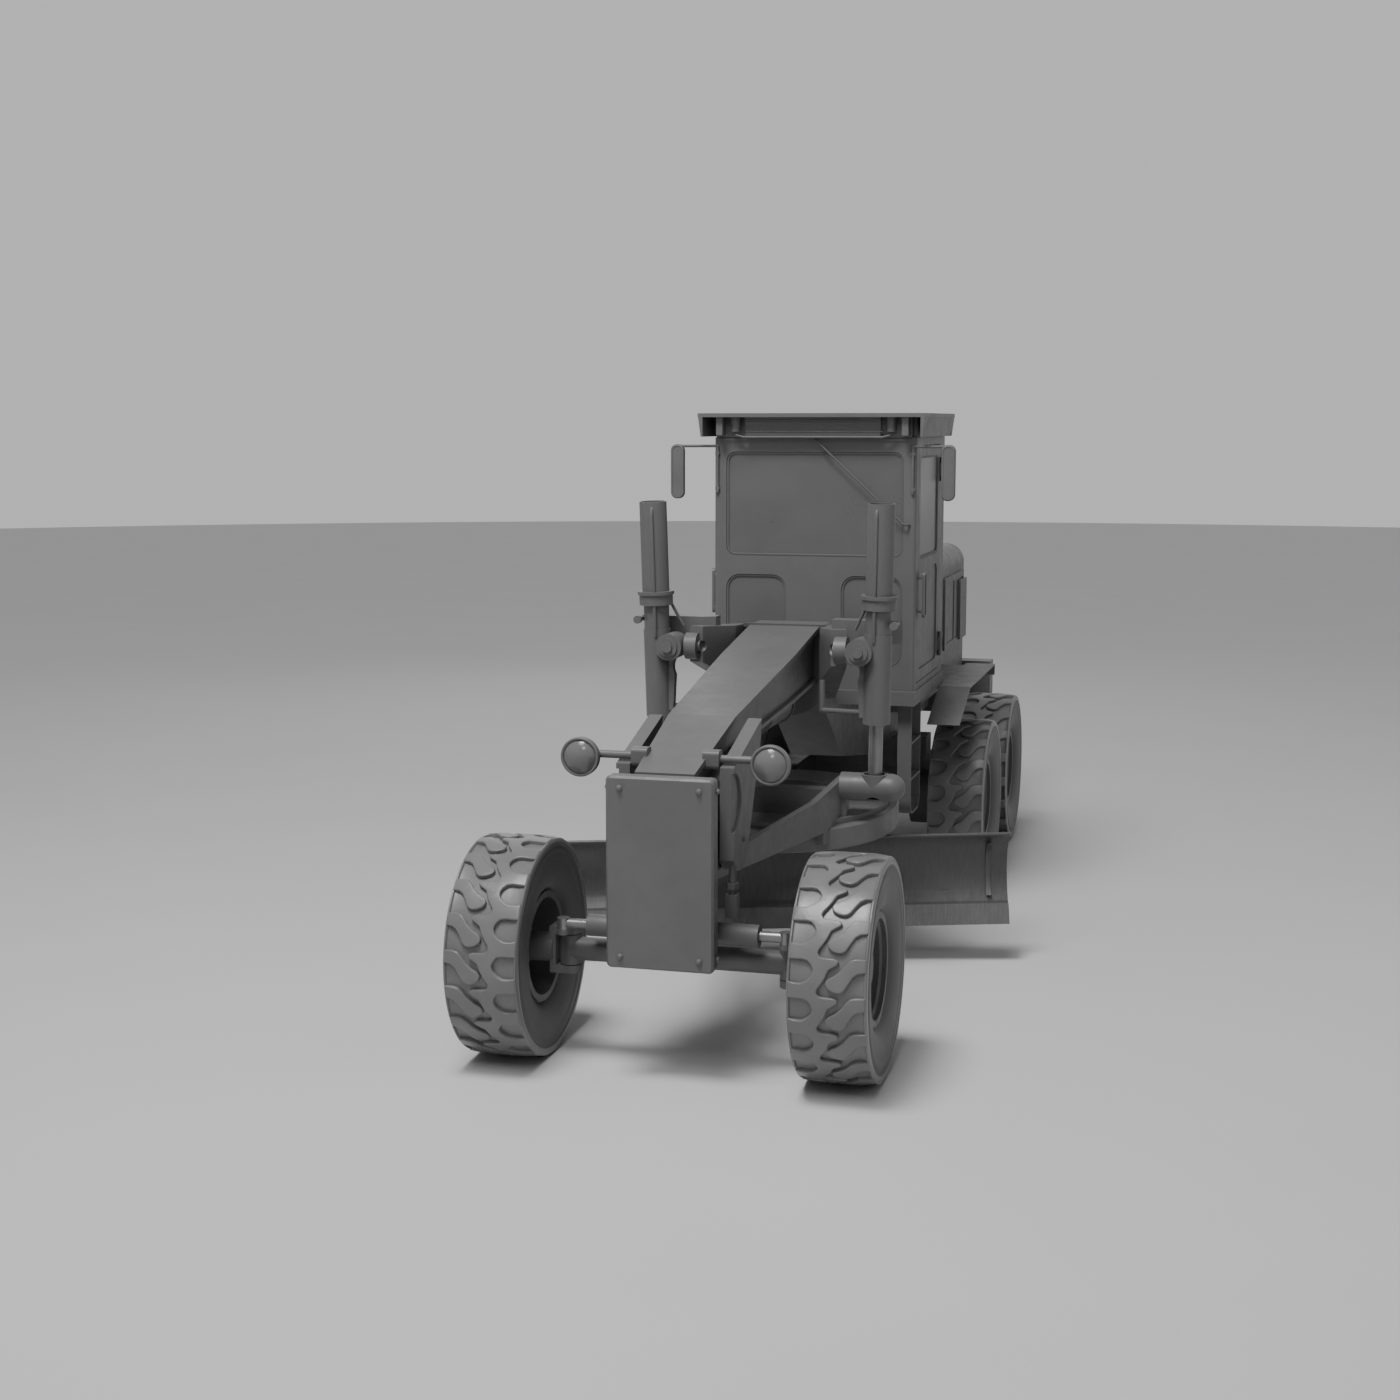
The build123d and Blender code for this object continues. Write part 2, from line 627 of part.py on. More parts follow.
web_depths = (BEAM_DEPTH_FRONT, BEAM_DEPTH_FRONT, BEAM_DEPTH_END)
shelf_depths = (BEAM_DEPTH_FRONT, BEAM_DEPTH_FRONT + SHELF_T, BEAM_DEPTH_END + SHELF_T)
with BuildPart() as beam:
    add(beam_length(0, (BEAM_PLATE_T, BEAM_PLATE_T, BEAM_PLATE_T)))
    add(beam_length(BEAM_LIP, web_depths))
    add(beam_length(BEAM_LIP - SHELF_OUT, shelf_depths, web_depths, first=1))
    end_run = Vector(0, BEAM_END_Y - BEAM_BEND_Y, BEAM_END_Z - BEAM_BEND_Z).normalized()
    flange_at = Vector(0, BEAM_END_Y, BEAM_END_Z) - end_run * BEAM_FLANGE_T
    with BuildSketch(Plane(origin=flange_at, x_dir=(1, 0, 0), z_dir=end_run)):
        with Locations((0, 2)):
            Rectangle(2 * (BEAM_HALF_W + BEAM_FLANGE_OUT), 2 * BEAM_FLANGE_T)
    extrude(amount=BEAM_FLANGE_T - 4)
    housing_face = Plane(origin=(0, HOUSING_REAR_Y, 0), x_dir=(1, 0, 0), z_dir=(0, -1, 0))
    with BuildSketch(housing_face):
        with Locations((0, HOUSING_Z)):
            Circle(HOUSING_R)
    extrude(amount=HOUSING_LEN)
    with BuildSketch(housing_face):
        with Locations((0, HOUSING_Z)):
            Circle(HOUSING_R + 14)
    extrude(amount=22)
    for side in (1, -1):
        with BuildSketch(Plane.YZ.offset(side * LAMP_BLOCK_IN)):
            with Locations((LAMP_BAR_Y, LAMP_Z + 10)):
                RectangleRounded(92, 104, 24)
        extrude(amount=side * (BEAM_HALF_W + LAMP_BLOCK_OUT - LAMP_BLOCK_IN))
beam.part.label = "beam"
export_step(beam.part, "parts/beam.step")

# Lift collar with its two arms
def lift_plane(side, z):
    """A plane square to a lift cylinder, centred on its axis at height z."""
    up = z - BOSS_Z
    place = Vector(side * (LIFT_X + up * LEAN_OUT), LIFT_Y - up * LEAN_AHEAD, z)
    return Plane(origin=place, x_dir=(1, 0, -side * LEAN_OUT), z_dir=(side * LEAN_OUT, -LEAN_AHEAD, 1))


arm_start = Vector(225, COLLAR_Y + 140, 0)
arm_stop = Vector(EYE_X - 20, LIFT_Y + 20, 0)
with BuildPart() as lift_frame:
    with BuildSketch(Plane(origin=(0, BEAM_END_Y, 0), x_dir=(1, 0, 0), z_dir=(0, -1, 0))):
        with Locations((0, COLLAR_Z)):
            Circle(COLLAR_R - 8)
        with Locations((0, COLLAR_FLAT_Z + COLLAR_R - 8)):
            Rectangle(2 * COLLAR_R, 2 * COLLAR_R, mode=Mode.SUBTRACT)
    extrude(amount=-COLLAR_LEN)
    with BuildSketch(Plane(origin=(0, BEAM_END_Y, 0), x_dir=(1, 0, 0), z_dir=(0, -1, 0))):
        with Locations((0, COLLAR_Z)):
            Circle(COLLAR_R)
        with Locations((0, COLLAR_FLAT_Z + COLLAR_R)):
            Rectangle(2 * COLLAR_R, 2 * COLLAR_R, mode=Mode.SUBTRACT)
    extrude(amount=-26)
    for side in (1, -1):
        a = Vector(side * arm_start.X, arm_start.Y, 0)
        b = Vector(side * arm_stop.X, arm_stop.Y, 0)
        along = (b - a).normalized()
        across = along.cross(Vector(0, 0, 1))
        with BuildSketch(Plane(origin=a + Vector(0, 0, ARM_ROOT[2]), x_dir=across, z_dir=along)):
            Rectangle(ARM_ROOT[0], ARM_ROOT[1])
        with BuildSketch(Plane(origin=b + Vector(0, 0, ARM_TIP[2]), x_dir=across, z_dir=along)):
            Rectangle(ARM_TIP[0], ARM_TIP[1])
        loft()
        with BuildSketch(Plane.XY.offset(LUG_Z)):
            with BuildLine():
                Polyline(
                    (side * 390, LIFT_Y + 200),
                    (side * 470, LIFT_Y + 172),
                    (side * 780, LIFT_Y + 172),
                    (side * 850, LIFT_Y + 235),
                    (side * 800, LIFT_Y + 300),
                    (side * 390, LIFT_Y + 320),
                    close=True,
                )
            make_face()
        extrude(amount=LUG_H)
        eye_plane = Plane(origin=(side * (EYE_X - EYE_T / 2), 0, 0), x_dir=(0, 1, 0), z_dir=(1, 0, 0))
        with BuildSketch(eye_plane):
            with Locations((LIFT_Y, BOSS_Z)):
                Circle(BOSS_R)
        extrude(amount=side * EYE_T)
        with BuildSketch(eye_plane.offset(-side * 100)):
            with Locations((LIFT_Y, BOSS_Z)):
                Circle(LIFT_PIN_R + SEAT)
        extrude(amount=side * (EYE_T + 100), mode=Mode.SUBTRACT)
    with BuildSketch(Plane.XZ.offset(-BEAM_END_Y)):
        with Locations((0, COLLAR_Z)):
            Rectangle(2 * (BEAM_HALF_W + BEAM_FLANGE_OUT + SEAT), 4 * COLLAR_R)
    extrude(amount=2 * BEAM_HALF_W, mode=Mode.SUBTRACT)
lift_frame.part.label = "lift_frame"
export_step(lift_frame.part, "parts/lift_frame.step")

for side, tag in LEFT_RIGHT:
    with BuildPart() as lift_barrel:
        with BuildSketch(lift_plane(side, TUBE_LOW)):
            Circle(TUBE_R)
        extrude(amount=BOSS_Z + 110 - TUBE_LOW)
        with BuildSketch(lift_plane(side, BOSS_Z + 100)):
            Circle(NECK_R)
        extrude(amount=CLAMP_Z - BOSS_Z - 90)
        with BuildSketch(lift_plane(side, CLAMP_Z)):
            Circle(TUBE_R)
        extrude(amount=TUBE_TOP - CLAMP_Z)
        with BuildSketch(lift_plane(side, CLAMP_Z - CLAMP_H / 2)):
            Circle(CLAMP_R)
        extrude(amount=CLAMP_H)
        with BuildSketch(lift_plane(side, CLAMP_Z + CLAMP_H / 2 - 22)):
            Circle(CLAMP_R + CLAMP_LIP)
        extrude(amount=22)
        boss_plane = Plane(origin=(0, LIFT_Y - 124, 0), x_dir=(1, 0, 0), z_dir=(0, -1, 0))
        with BuildSketch(boss_plane):
            with Locations((side * BOSS_X, BOSS_Z)):
                Circle(BOSS_R)
        extrude(amount=-190)
        with BuildSketch(boss_plane):
            with Locations((side * BOSS_X, BOSS_Z)):
                Circle(BOSS_R - 25)
        extrude(amount=14)
        with BuildSketch(boss_plane.offset(14)):
            with Locations((side * BOSS_X, BOSS_Z)):
                Circle(32)
        extrude(amount=22)
        with BuildSketch(boss_plane.offset(-94)):
            with BuildLine():
                web_top = (side * (BOSS_X - 50), BOSS_Z - 50)
                web_knee = (side * (LIFT_X - TUBE_R - 36), BOSS_Z - 190)
                web_low = (side * (LIFT_X - TUBE_R - 24), TUBE_LOW + 40)
                w1 = Line((side * LIFT_X, BOSS_Z - 30), web_top)
                w2 = ThreePointArc(web_top, (side * (LIFT_X - TUBE_R - 26), BOSS_Z - 112), web_knee)
                w3 = Line(w2 @ 1, web_low)
                w4 = Line(w3 @ 1, (side * LIFT_X, TUBE_LOW + 40))
                Line(w4 @ 1, w1 @ 0)
            make_face()
        extrude(amount=-56)
        with BuildSketch(lift_plane(side, TUBE_LOW + 90)):
            Circle(TUBE_BORE_R)
        extrude(amount=TUBE_TOP - TUBE_LOW, mode=Mode.SUBTRACT)
        with BuildSketch(lift_plane(side, TUBE_LOW - 30)):
            Circle(LIFT_ROD_R + SEAT)
        extrude(amount=200, mode=Mode.SUBTRACT)
        pin_plane = Plane(origin=(side * (EYE_X - EYE_T / 2 - 14), 0, 0), x_dir=(0, 1, 0), z_dir=(1, 0, 0))
        with BuildSketch(pin_plane):
            with Locations((LIFT_Y, BOSS_Z)):
                Circle(LIFT_PIN_R)
        extrude(amount=side * (BOSS_X - EYE_X + EYE_T / 2 + 14 - 40))
        seam_x = -side * TUBE_R * 0.16
        seam_y = -TUBE_R * 0.99
        for seam_z, seam_len in ((BOSS_Z + 60, TUBE_TOP - BOSS_Z - 130),):
            with BuildSketch(lift_plane(side, seam_z)):
                with Locations((seam_x, seam_y)):
                    Circle(SEAM_R)
            extrude(amount=seam_len)
        corner = Vector(side * 344, AXLE_Y + 2200, 1728)
        pipes = (
            (Vector(side * 344, AXLE_Y + 2200, 1925), corner, PIPE_R),
            (corner, Vector(side * 640, AXLE_Y + 2092, 1738), PIPE_R),
            (Vector(side * 655, LIFT_Y + 20, CLAMP_Z - 20), Vector(side * 575, LIFT_Y + 60, BOSS_Z + 128), 10),
            (Vector(side * KNOB_X, LIFT_Y + 100, BOSS_Z + 172), Vector(side * KNOB_X, LIFT_Y - 60, BOSS_Z + 172), 14),
            (Vector(side * KNOB_X, LIFT_Y - 60, BOSS_Z + 172), Vector(side * KNOB_X, LIFT_Y - 96, BOSS_Z + 172), 26),
            (Vector(side * (KNOB_X + 6), LIFT_Y + 46, BOSS_Z + 172), Vector(side * 808, LIFT_Y + 46, BOSS_Z + 172), 20),
        )
        for start, stop, pipe_r in pipes:
            with BuildSketch(Plane(origin=start, z_dir=stop - start)):
                Circle(pipe_r)
            extrude(amount=(stop - start).length)
        with Locations(corner):
            Sphere(PIPE_R)
    lift_barrel.part.label = f"lift_barrel_{tag}"
    export_step(lift_barrel.part, f"parts/lift_barrel_{tag}.step")

    with BuildPart() as lift_rod:
        with BuildSketch(lift_plane(side, LIFT_BALL_Z)):
            Circle(LIFT_ROD_R)
        extrude(amount=PISTON_Z - LIFT_BALL_Z + 10)
        with BuildSketch(lift_plane(side, PISTON_Z)):
            Circle(TUBE_BORE_R - SEAT)
        extrude(amount=PISTON_H)
        with Locations(lift_plane(side, LIFT_BALL_Z).origin):
            Sphere(LIFT_BALL_R)
    lift_rod.part.label = f"lift_rod_{tag}"
    export_step(lift_rod.part, f"parts/lift_rod_{tag}.step")

# Blade group, drawn on the tilted plane of the circle
tilt = radians(DRAW_TILT)
group_up = Vector(0, -sin(tilt), cos(tilt))
group_back = Vector(0, cos(tilt), sin(tilt))
circle_origin = Vector(0, CIRCLE_Y, CIRCLE_Z)
circle_plane = Plane(origin=circle_origin, x_dir=(1, 0, 0), z_dir=group_up)
yaw = radians(BLADE_YAW)
blade_along = Vector(1, 0, 0) * cos(yaw) + group_back * sin(yaw)
blade_ahead = Vector(1, 0, 0) * sin(yaw) - group_back * cos(yaw)
blade_top_plane = Plane(origin=circle_origin, x_dir=blade_along, z_dir=group_up)
blade_section = Plane(
    origin=circle_origin + blade_ahead * BLADE_SET,
    x_dir=blade_ahead * -1,
    z_dir=blade_along,
)


def local_point(point):
    """Turn a place of the machine into the circle plane's own coordinates."""
    offset = point - circle_origin
    return (offset.X, offset.dot(group_back), offset.dot(group_up))


pivot_local = local_point(Vector(0, DRAW_PIVOT_Y, DRAW_PIVOT_Z))
socket_at = lift_plane(1, LIFT_BALL_Z).origin
socket_local = local_point(socket_at)
arm_low_w = CIRCLE_PLAY
neck_end_v = pivot_local[1] + DRAW_BALL_R + 60
arm_end_v = socket_local[1] + 60
arm_end_u = socket_local[0] - 210
arm_top_w = socket_local[2] + 60

side_cut = Plane.YZ
with BuildPart() as drawbar:
    for side in (1, -1):
        start = Vector(side * 30, neck_end_v - 60)
        stop = Vector(side * arm_end_u, arm_end_v)
        heading = (stop - start).normalized()
        flank = Vector(-heading.Y, heading.X) * (DRAW_ARM_T / 2)
        with BuildSketch(circle_plane.offset(arm_low_w - 90)):
            with BuildLine():
                Polyline(start + flank, stop + flank, stop - flank, start - flank, close=True)
            make_face()
        extrude(amount=arm_top_w - arm_low_w + 90)
    with BuildSketch(side_cut):
        with BuildLine():
            Polyline(
                (AXLE_Y - 200, DRAW_PIVOT_Z + 40),
                (AXLE_Y + 260, DRAW_PIVOT_Z + 40),
                (CIRCLE_Y - CIRCLE_R - 60, CIRCLE_Z + 160),
                (LIFT_Y + 260, LIFT_BALL_Z + 110),
                (LIFT_Y + 260, CIRCLE_Z + 900),
                (AXLE_Y - 200, CIRCLE_Z + 900),
                close=True,
            )
        make_face()
    extrude(amount=LIFT_X + 200, both=True, mode=Mode.SUBTRACT)
    with BuildSketch(side_cut):
        with BuildLine():
            Polyline(
                (DRAW_PIVOT_Y - 20, 700),
                (CIRCLE_Y - CIRCLE_R + 60, 700),
                (CIRCLE_Y - CIRCLE_R + 60, CIRCLE_Z - 60),
                (DRAW_PIVOT_Y - 20, DRAW_PIVOT_Z - 60),
                close=True,
            )
        make_face()
    extrude(amount=LIFT_X, both=True, mode=Mode.SUBTRACT)
    with BuildSketch(circle_plane.offset(CIRCLE_PLAY - 400)):
        Circle(CIRCLE_R + 20)
    extrude(amount=400, mode=Mode.SUBTRACT)
    with BuildSketch(circle_plane.offset(arm_low_w)):
        Circle(DRAW_FLOOR_R)
        Circle(DRAW_HOLE_R, mode=Mode.SUBTRACT)
    extrude(amount=DRAW_FLOOR_T)
    with BuildSketch(circle_plane.offset(arm_low_w)):
        with Locations((0, socket_local[1])):
            Rectangle(2 * arm_end_u + 60, 96)
    extrude(amount=socket_local[2] - arm_low_w - 20)
    with BuildSketch(Plane.XY.offset(DRAW_PIVOT_Z - 45)):
        with Locations((0, DRAW_PIVOT_Y + 140)):
            Rectangle(110, 220)
    extrude(amount=90)
    with Locations((0, DRAW_PIVOT_Y, DRAW_PIVOT_Z)):
        Sphere(DRAW_BALL_R, rotation=(0, 90, 0))
    with BuildSketch(Plane.YZ.offset(-DRAW_BALL_R - 10)):
        with Locations((DRAW_PIVOT_Y, DRAW_PIVOT_Z)):
            Circle(DRAW_PIN_R + SEAT)
    extrude(amount=2 * DRAW_BALL_R + 20, mode=Mode.SUBTRACT)
    for side in (1, -1):
        socket_start = Vector(side * (arm_end_u - 10), socket_at.Y, LIFT_BALL_Z)
        with BuildSketch(Plane(origin=socket_start, x_dir=(0, 1, 0), z_dir=(side, 0, 0))):
            Circle(SOCKET_R)
        extrude(amount=SOCKET_END_X - arm_end_u + 10)
        with Locations((side * SOCKET_END_X, socket_at.Y, LIFT_BALL_Z)):
            Sphere(SOCKET_R, rotation=(0, 90, 0))
        with BuildSketch(Plane.XY.offset(LIFT_BALL_Z)):
            with Locations((side * socket_at.X, socket_at.Y)):
                Circle(SOCKET_NECK_R + SOCKET_LIP)
        extrude(amount=SOCKET_R - 4)
    for side in (1, -1):
        with BuildSketch(Plane.XY.offset(LIFT_BALL_Z - 72)):
            with Locations((side * socket_at.X, socket_at.Y)):
                Circle(SOCKET_BORE_R)
        extrude(amount=124, mode=Mode.SUBTRACT)
        with BuildSketch(Plane.XY.offset(LIFT_BALL_Z - 72)):
            with Locations((side * socket_at.X, socket_at.Y)):
                Circle(SOCKET_NECK_R)
        extrude(amount=400, mode=Mode.SUBTRACT)
drawbar.part.label = "drawbar"
export_step(drawbar.part, "parts/drawbar.step")

with BuildPart() as circle:
    with BuildSketch(circle_plane.offset(-CIRCLE_H)):
        Circle(CIRCLE_R)
        Circle(CIRCLE_R - CIRCLE_RING_W, mode=Mode.SUBTRACT)
    extrude(amount=CIRCLE_H)
    rim_edges = [e for e in circle.edges().filter_by(GeomType.CIRCLE) if e.radius > CIRCLE_R - 1]
    chamfer(rim_edges, CIRCLE_CHAMFER)
    for u in (BRACKET_U, -BRACKET_U):
        bracket_plane = Plane(
            origin=blade_section.origin + blade_along * (u - BRACKET_T / 2),
            x_dir=blade_section.x_dir,
            z_dir=blade_along,
        )
        with BuildSketch(bracket_plane):
            with BuildLine():
                Polyline(
                    (BRACKET_NOSE, 6 - CIRCLE_H),
                    (BRACKET_TAIL, 6 - CIRCLE_H),
                    (BRACKET_TAIL, -CIRCLE_H - 60),
                    (BRACKET_BACK, RAIL_LOW_W - 60),
                    (BRACKET_FRONT, RAIL_LOW_W - 60),
                    (BRACKET_FRONT, BLADE_TOP_W + LIP_W),
                    (BRACKET_NOSE, BLADE_TOP_W + LIP_W),
                    close=True,
                )
            make_face()
        extrude(amount=BRACKET_T)
        for rail_w in (RAIL_TOP_W, RAIL_LOW_W):
            with BuildSketch(bracket_plane):
                with Locations((RAIL_A, rail_w)):
                    Rectangle(RAIL_W + 2 * RAIL_PLAY, RAIL_W + 2 * RAIL_PLAY)
            extrude(amount=BRACKET_T, mode=Mode.SUBTRACT)
circle.part.label = "circle"
export_step(circle.part, "parts/circle.step")

board_top = (-60.0, BLADE_TOP_W)
board_mid = (38.0, BLADE_TOP_W - 0.42 * BLADE_H)
board_low = (-30.0, BLADE_TOP_W - BLADE_H + EDGE_H)
lip = Vector(board_low[0] + 95, 0)
with BuildPart() as moldboard:
    board_plane = Plane(
        origin=blade_section.origin + blade_along * (BLADE_SIDE - BLADE_LEN / 2),
        x_dir=blade_section.x_dir,
        z_dir=blade_along,
    )
    with BuildSketch(board_plane):
        with BuildLine():
            front_arc = ThreePointArc(board_top, board_mid, board_low)
            toe = Line(front_arc @ 1, (EDGE_TOE[0], EDGE_TOE[1]))
            toe_back = Line(toe @ 1, (EDGE_TOE[0] + BLADE_T, EDGE_TOE[1] + 6))
            heel = Line(toe_back @ 1, (board_low[0] + BLADE_T, board_low[1] + 4))
            back_arc = ThreePointArc(
                heel @ 1,
                (board_mid[0] + BLADE_T, board_mid[1]),
                (board_top[0] + BLADE_T, board_top[1]),
            )
            Line(back_arc @ 1, board_top)
        make_face()
    extrude(amount=BLADE_LEN)
    for strip_u in (STRIP_IN - STRIP_W, BLADE_LEN - STRIP_IN):
        with BuildSketch(board_plane.offset(strip_u)):
            with BuildLine():
                strip_top = (board_top[0] - STRIP_PROUD, board_top[1] - 60)
                strip_mid = (board_mid[0] - STRIP_PROUD, board_mid[1])
                strip_low = (board_low[0] - STRIP_PROUD, board_low[1] + 40)
                strip_arc = ThreePointArc(strip_top, strip_mid, strip_low)
                strip_foot = Line(strip_arc @ 1, (board_low[0] + 12, board_low[1] + 40))
                strip_back = ThreePointArc(
                    strip_foot @ 1,
                    (board_mid[0] + 12, board_mid[1]),
                    (board_top[0] + 12, board_top[1] - 60),
                )
                Line(strip_back @ 1, strip_top)
            make_face()
        extrude(amount=STRIP_W)
    with BuildSketch(board_plane):
        with Locations((board_top[0] + BLADE_T / 2 - 4, board_top[1] + 4)):
            Circle(LIP_W / 2)
    extrude(amount=BLADE_LEN)
    rail_start = Plane(
        origin=blade_section.origin + blade_along * (BLADE_SIDE - RAIL_LEN / 2),
        x_dir=blade_section.x_dir,
        z_dir=blade_along,
    )
    for rail_w in (RAIL_TOP_W, RAIL_LOW_W):
        with BuildSketch(rail_start):
            with Locations((RAIL_A, rail_w)):
                Rectangle(RAIL_W, RAIL_W)
        extrude(amount=RAIL_LEN)
        foot = RAIL_FEET[rail_w]
        for end in (0, RAIL_LEN - 60):
            with BuildSketch(rail_start.offset(end)):
                with Locations(((RAIL_A + RAIL_W / 2 + foot) / 2, rail_w)):
                    Rectangle(RAIL_A + RAIL_W / 2 - foot, RAIL_W + 20)
            extrude(amount=60)
moldboard.part.label = "moldboard"
export_step(moldboard.part, "parts/moldboard.step")

toe_run = Vector(EDGE_TOE[0] - board_low[0], EDGE_TOE[1] - board_low[1]).normalized()
toe_out = Vector(toe_run.Y, -toe_run.X)
with BuildPart() as cutting_edge:
    with BuildSketch(board_plane):
        edge_top = Vector(board_low[0], board_low[1]) + toe_run * 20
        edge_foot = edge_top + toe_run * EDGE_H
        with BuildLine():
            Polyline(edge_top, edge_foot, edge_foot + toe_out * EDGE_T, edge_top + toe_out * EDGE_T, close=True)
        make_face()
    extrude(amount=BLADE_LEN)
cutting_edge.part.label = "cutting_edge"
export_step(cutting_edge.part, "parts/cutting_edge.step")

# Cab
cab_depth = CAB_REAR_Y - CAB_FRONT_Y
cab_mid_y = (CAB_FRONT_Y + CAB_REAR_Y) / 2
with BuildPart() as cab_floor:
    with BuildSketch(Plane.XY.offset(CAB_LOW - FLOOR_T)):
        with Locations((0, cab_mid_y - 20)):
            Rectangle(2 * PLATFORM_HALF_W, cab_depth + 40)
    extrude(amount=FLOOR_T)
cab_floor.part.label = "cab_floor"
export_step(cab_floor.part, "parts/cab_floor.step")

front_face = Plane(origin=(0, CAB_FRONT_Y, 0), x_dir=(1, 0, 0), z_dir=(0, -1, 0))
screen_mid_z = (SCREEN_LOW + SCREEN_TOP) / 2
lower_mid_z = (PANE_LOW + PANE_TOP) / 2
with BuildPart() as cab_front:
    with BuildSketch(front_face):
        with Locations((0, (CAB_LOW + CAB_TOP) / 2)):
            Rectangle(2 * CAB_HALF_W, CAB_TOP - CAB_LOW)
        with Locations((0, screen_mid_z)):
            RectangleRounded(2 * SCREEN_HALF_W, SCREEN_TOP - SCREEN_LOW, WINDOW_ROUND, mode=Mode.SUBTRACT)
        for side in (1, -1):
            with Locations((side * (PANE_IN + SCREEN_HALF_W) / 2, lower_mid_z)):
                RectangleRounded(SCREEN_HALF_W - PANE_IN, PANE_TOP - PANE_LOW, PANE_ROUND, mode=Mode.SUBTRACT)
    extrude(amount=-CAB_WALL)
    corner_edges = cab_front.edges().filter_by(Axis.Z).group_by(Axis.Y)[0].sort_by(Axis.X)
    fillet([corner_edges[0], corner_edges[-1]], CORNER_R)
    with BuildSketch(front_face):
        with Locations((0, CAB_TOP - 16)):
            Rectangle(2 * (CAB_HALF_W - CORNER_R - 6), 18)
    extrude(amount=12)
cab_front.part.label = "cab_front"
export_step(cab_front.part, "parts/cab_front.step")

with BuildPart() as front_panes:
    with BuildSketch(front_face.offset(-CAB_WALL / 2)):
        with Locations((0, screen_mid_z)):
            RectangleRounded(2 * SCREEN_HALF_W - 2 * SEAT, SCREEN_TOP - SCREEN_LOW - 2 * SEAT, WINDOW_ROUND)
        for side in (1, -1):
            with Locations((side * (PANE_IN + SCREEN_HALF_W) / 2, lower_mid_z)):
                RectangleRounded(SCREEN_HALF_W - PANE_IN - 2 * SEAT, PANE_TOP - PANE_LOW - 2 * SEAT, PANE_ROUND)
    extrude(amount=GLASS_T)
front_panes.part.label = "front_panes"
export_step(front_panes.part, "parts/front_panes.step")

rear_face = Plane(origin=(0, CAB_REAR_Y, 0), x_dir=(-1, 0, 0), z_dir=(0, 1, 0))
with BuildPart() as cab_rear:
    with BuildSketch(rear_face):
        with Locations((0, (CAB_LOW + CAB_TOP) / 2)):
            Rectangle(2 * CAB_HALF_W, CAB_TOP - CAB_LOW)
        with Locations((0, screen_mid_z)):
            RectangleRounded(2 * REAR_PANE_HALF_W, SCREEN_TOP - SCREEN_LOW, WINDOW_ROUND, mode=Mode.SUBTRACT)
    extrude(amount=-CAB_WALL)
    corner_edges = cab_rear.edges().filter_by(Axis.Z).group_by(Axis.Y)[-1].sort_by(Axis.X)
    fillet([corner_edges[0], corner_edges[-1]], CORNER_R)
cab_rear.part.label = "cab_rear"
export_step(cab_rear.part, "parts/cab_rear.step")

with BuildPart() as rear_pane:
    with BuildSketch(rear_face.offset(-CAB_WALL / 2)):
        with Locations((0, screen_mid_z)):
            RectangleRounded(2 * REAR_PANE_HALF_W - 2 * SEAT, SCREEN_TOP - SCREEN_LOW - 2 * SEAT, WINDOW_ROUND)
    extrude(amount=GLASS_T)
rear_pane.part.label = "rear_pane"
export_step(rear_pane.part, "parts/rear_pane.step")

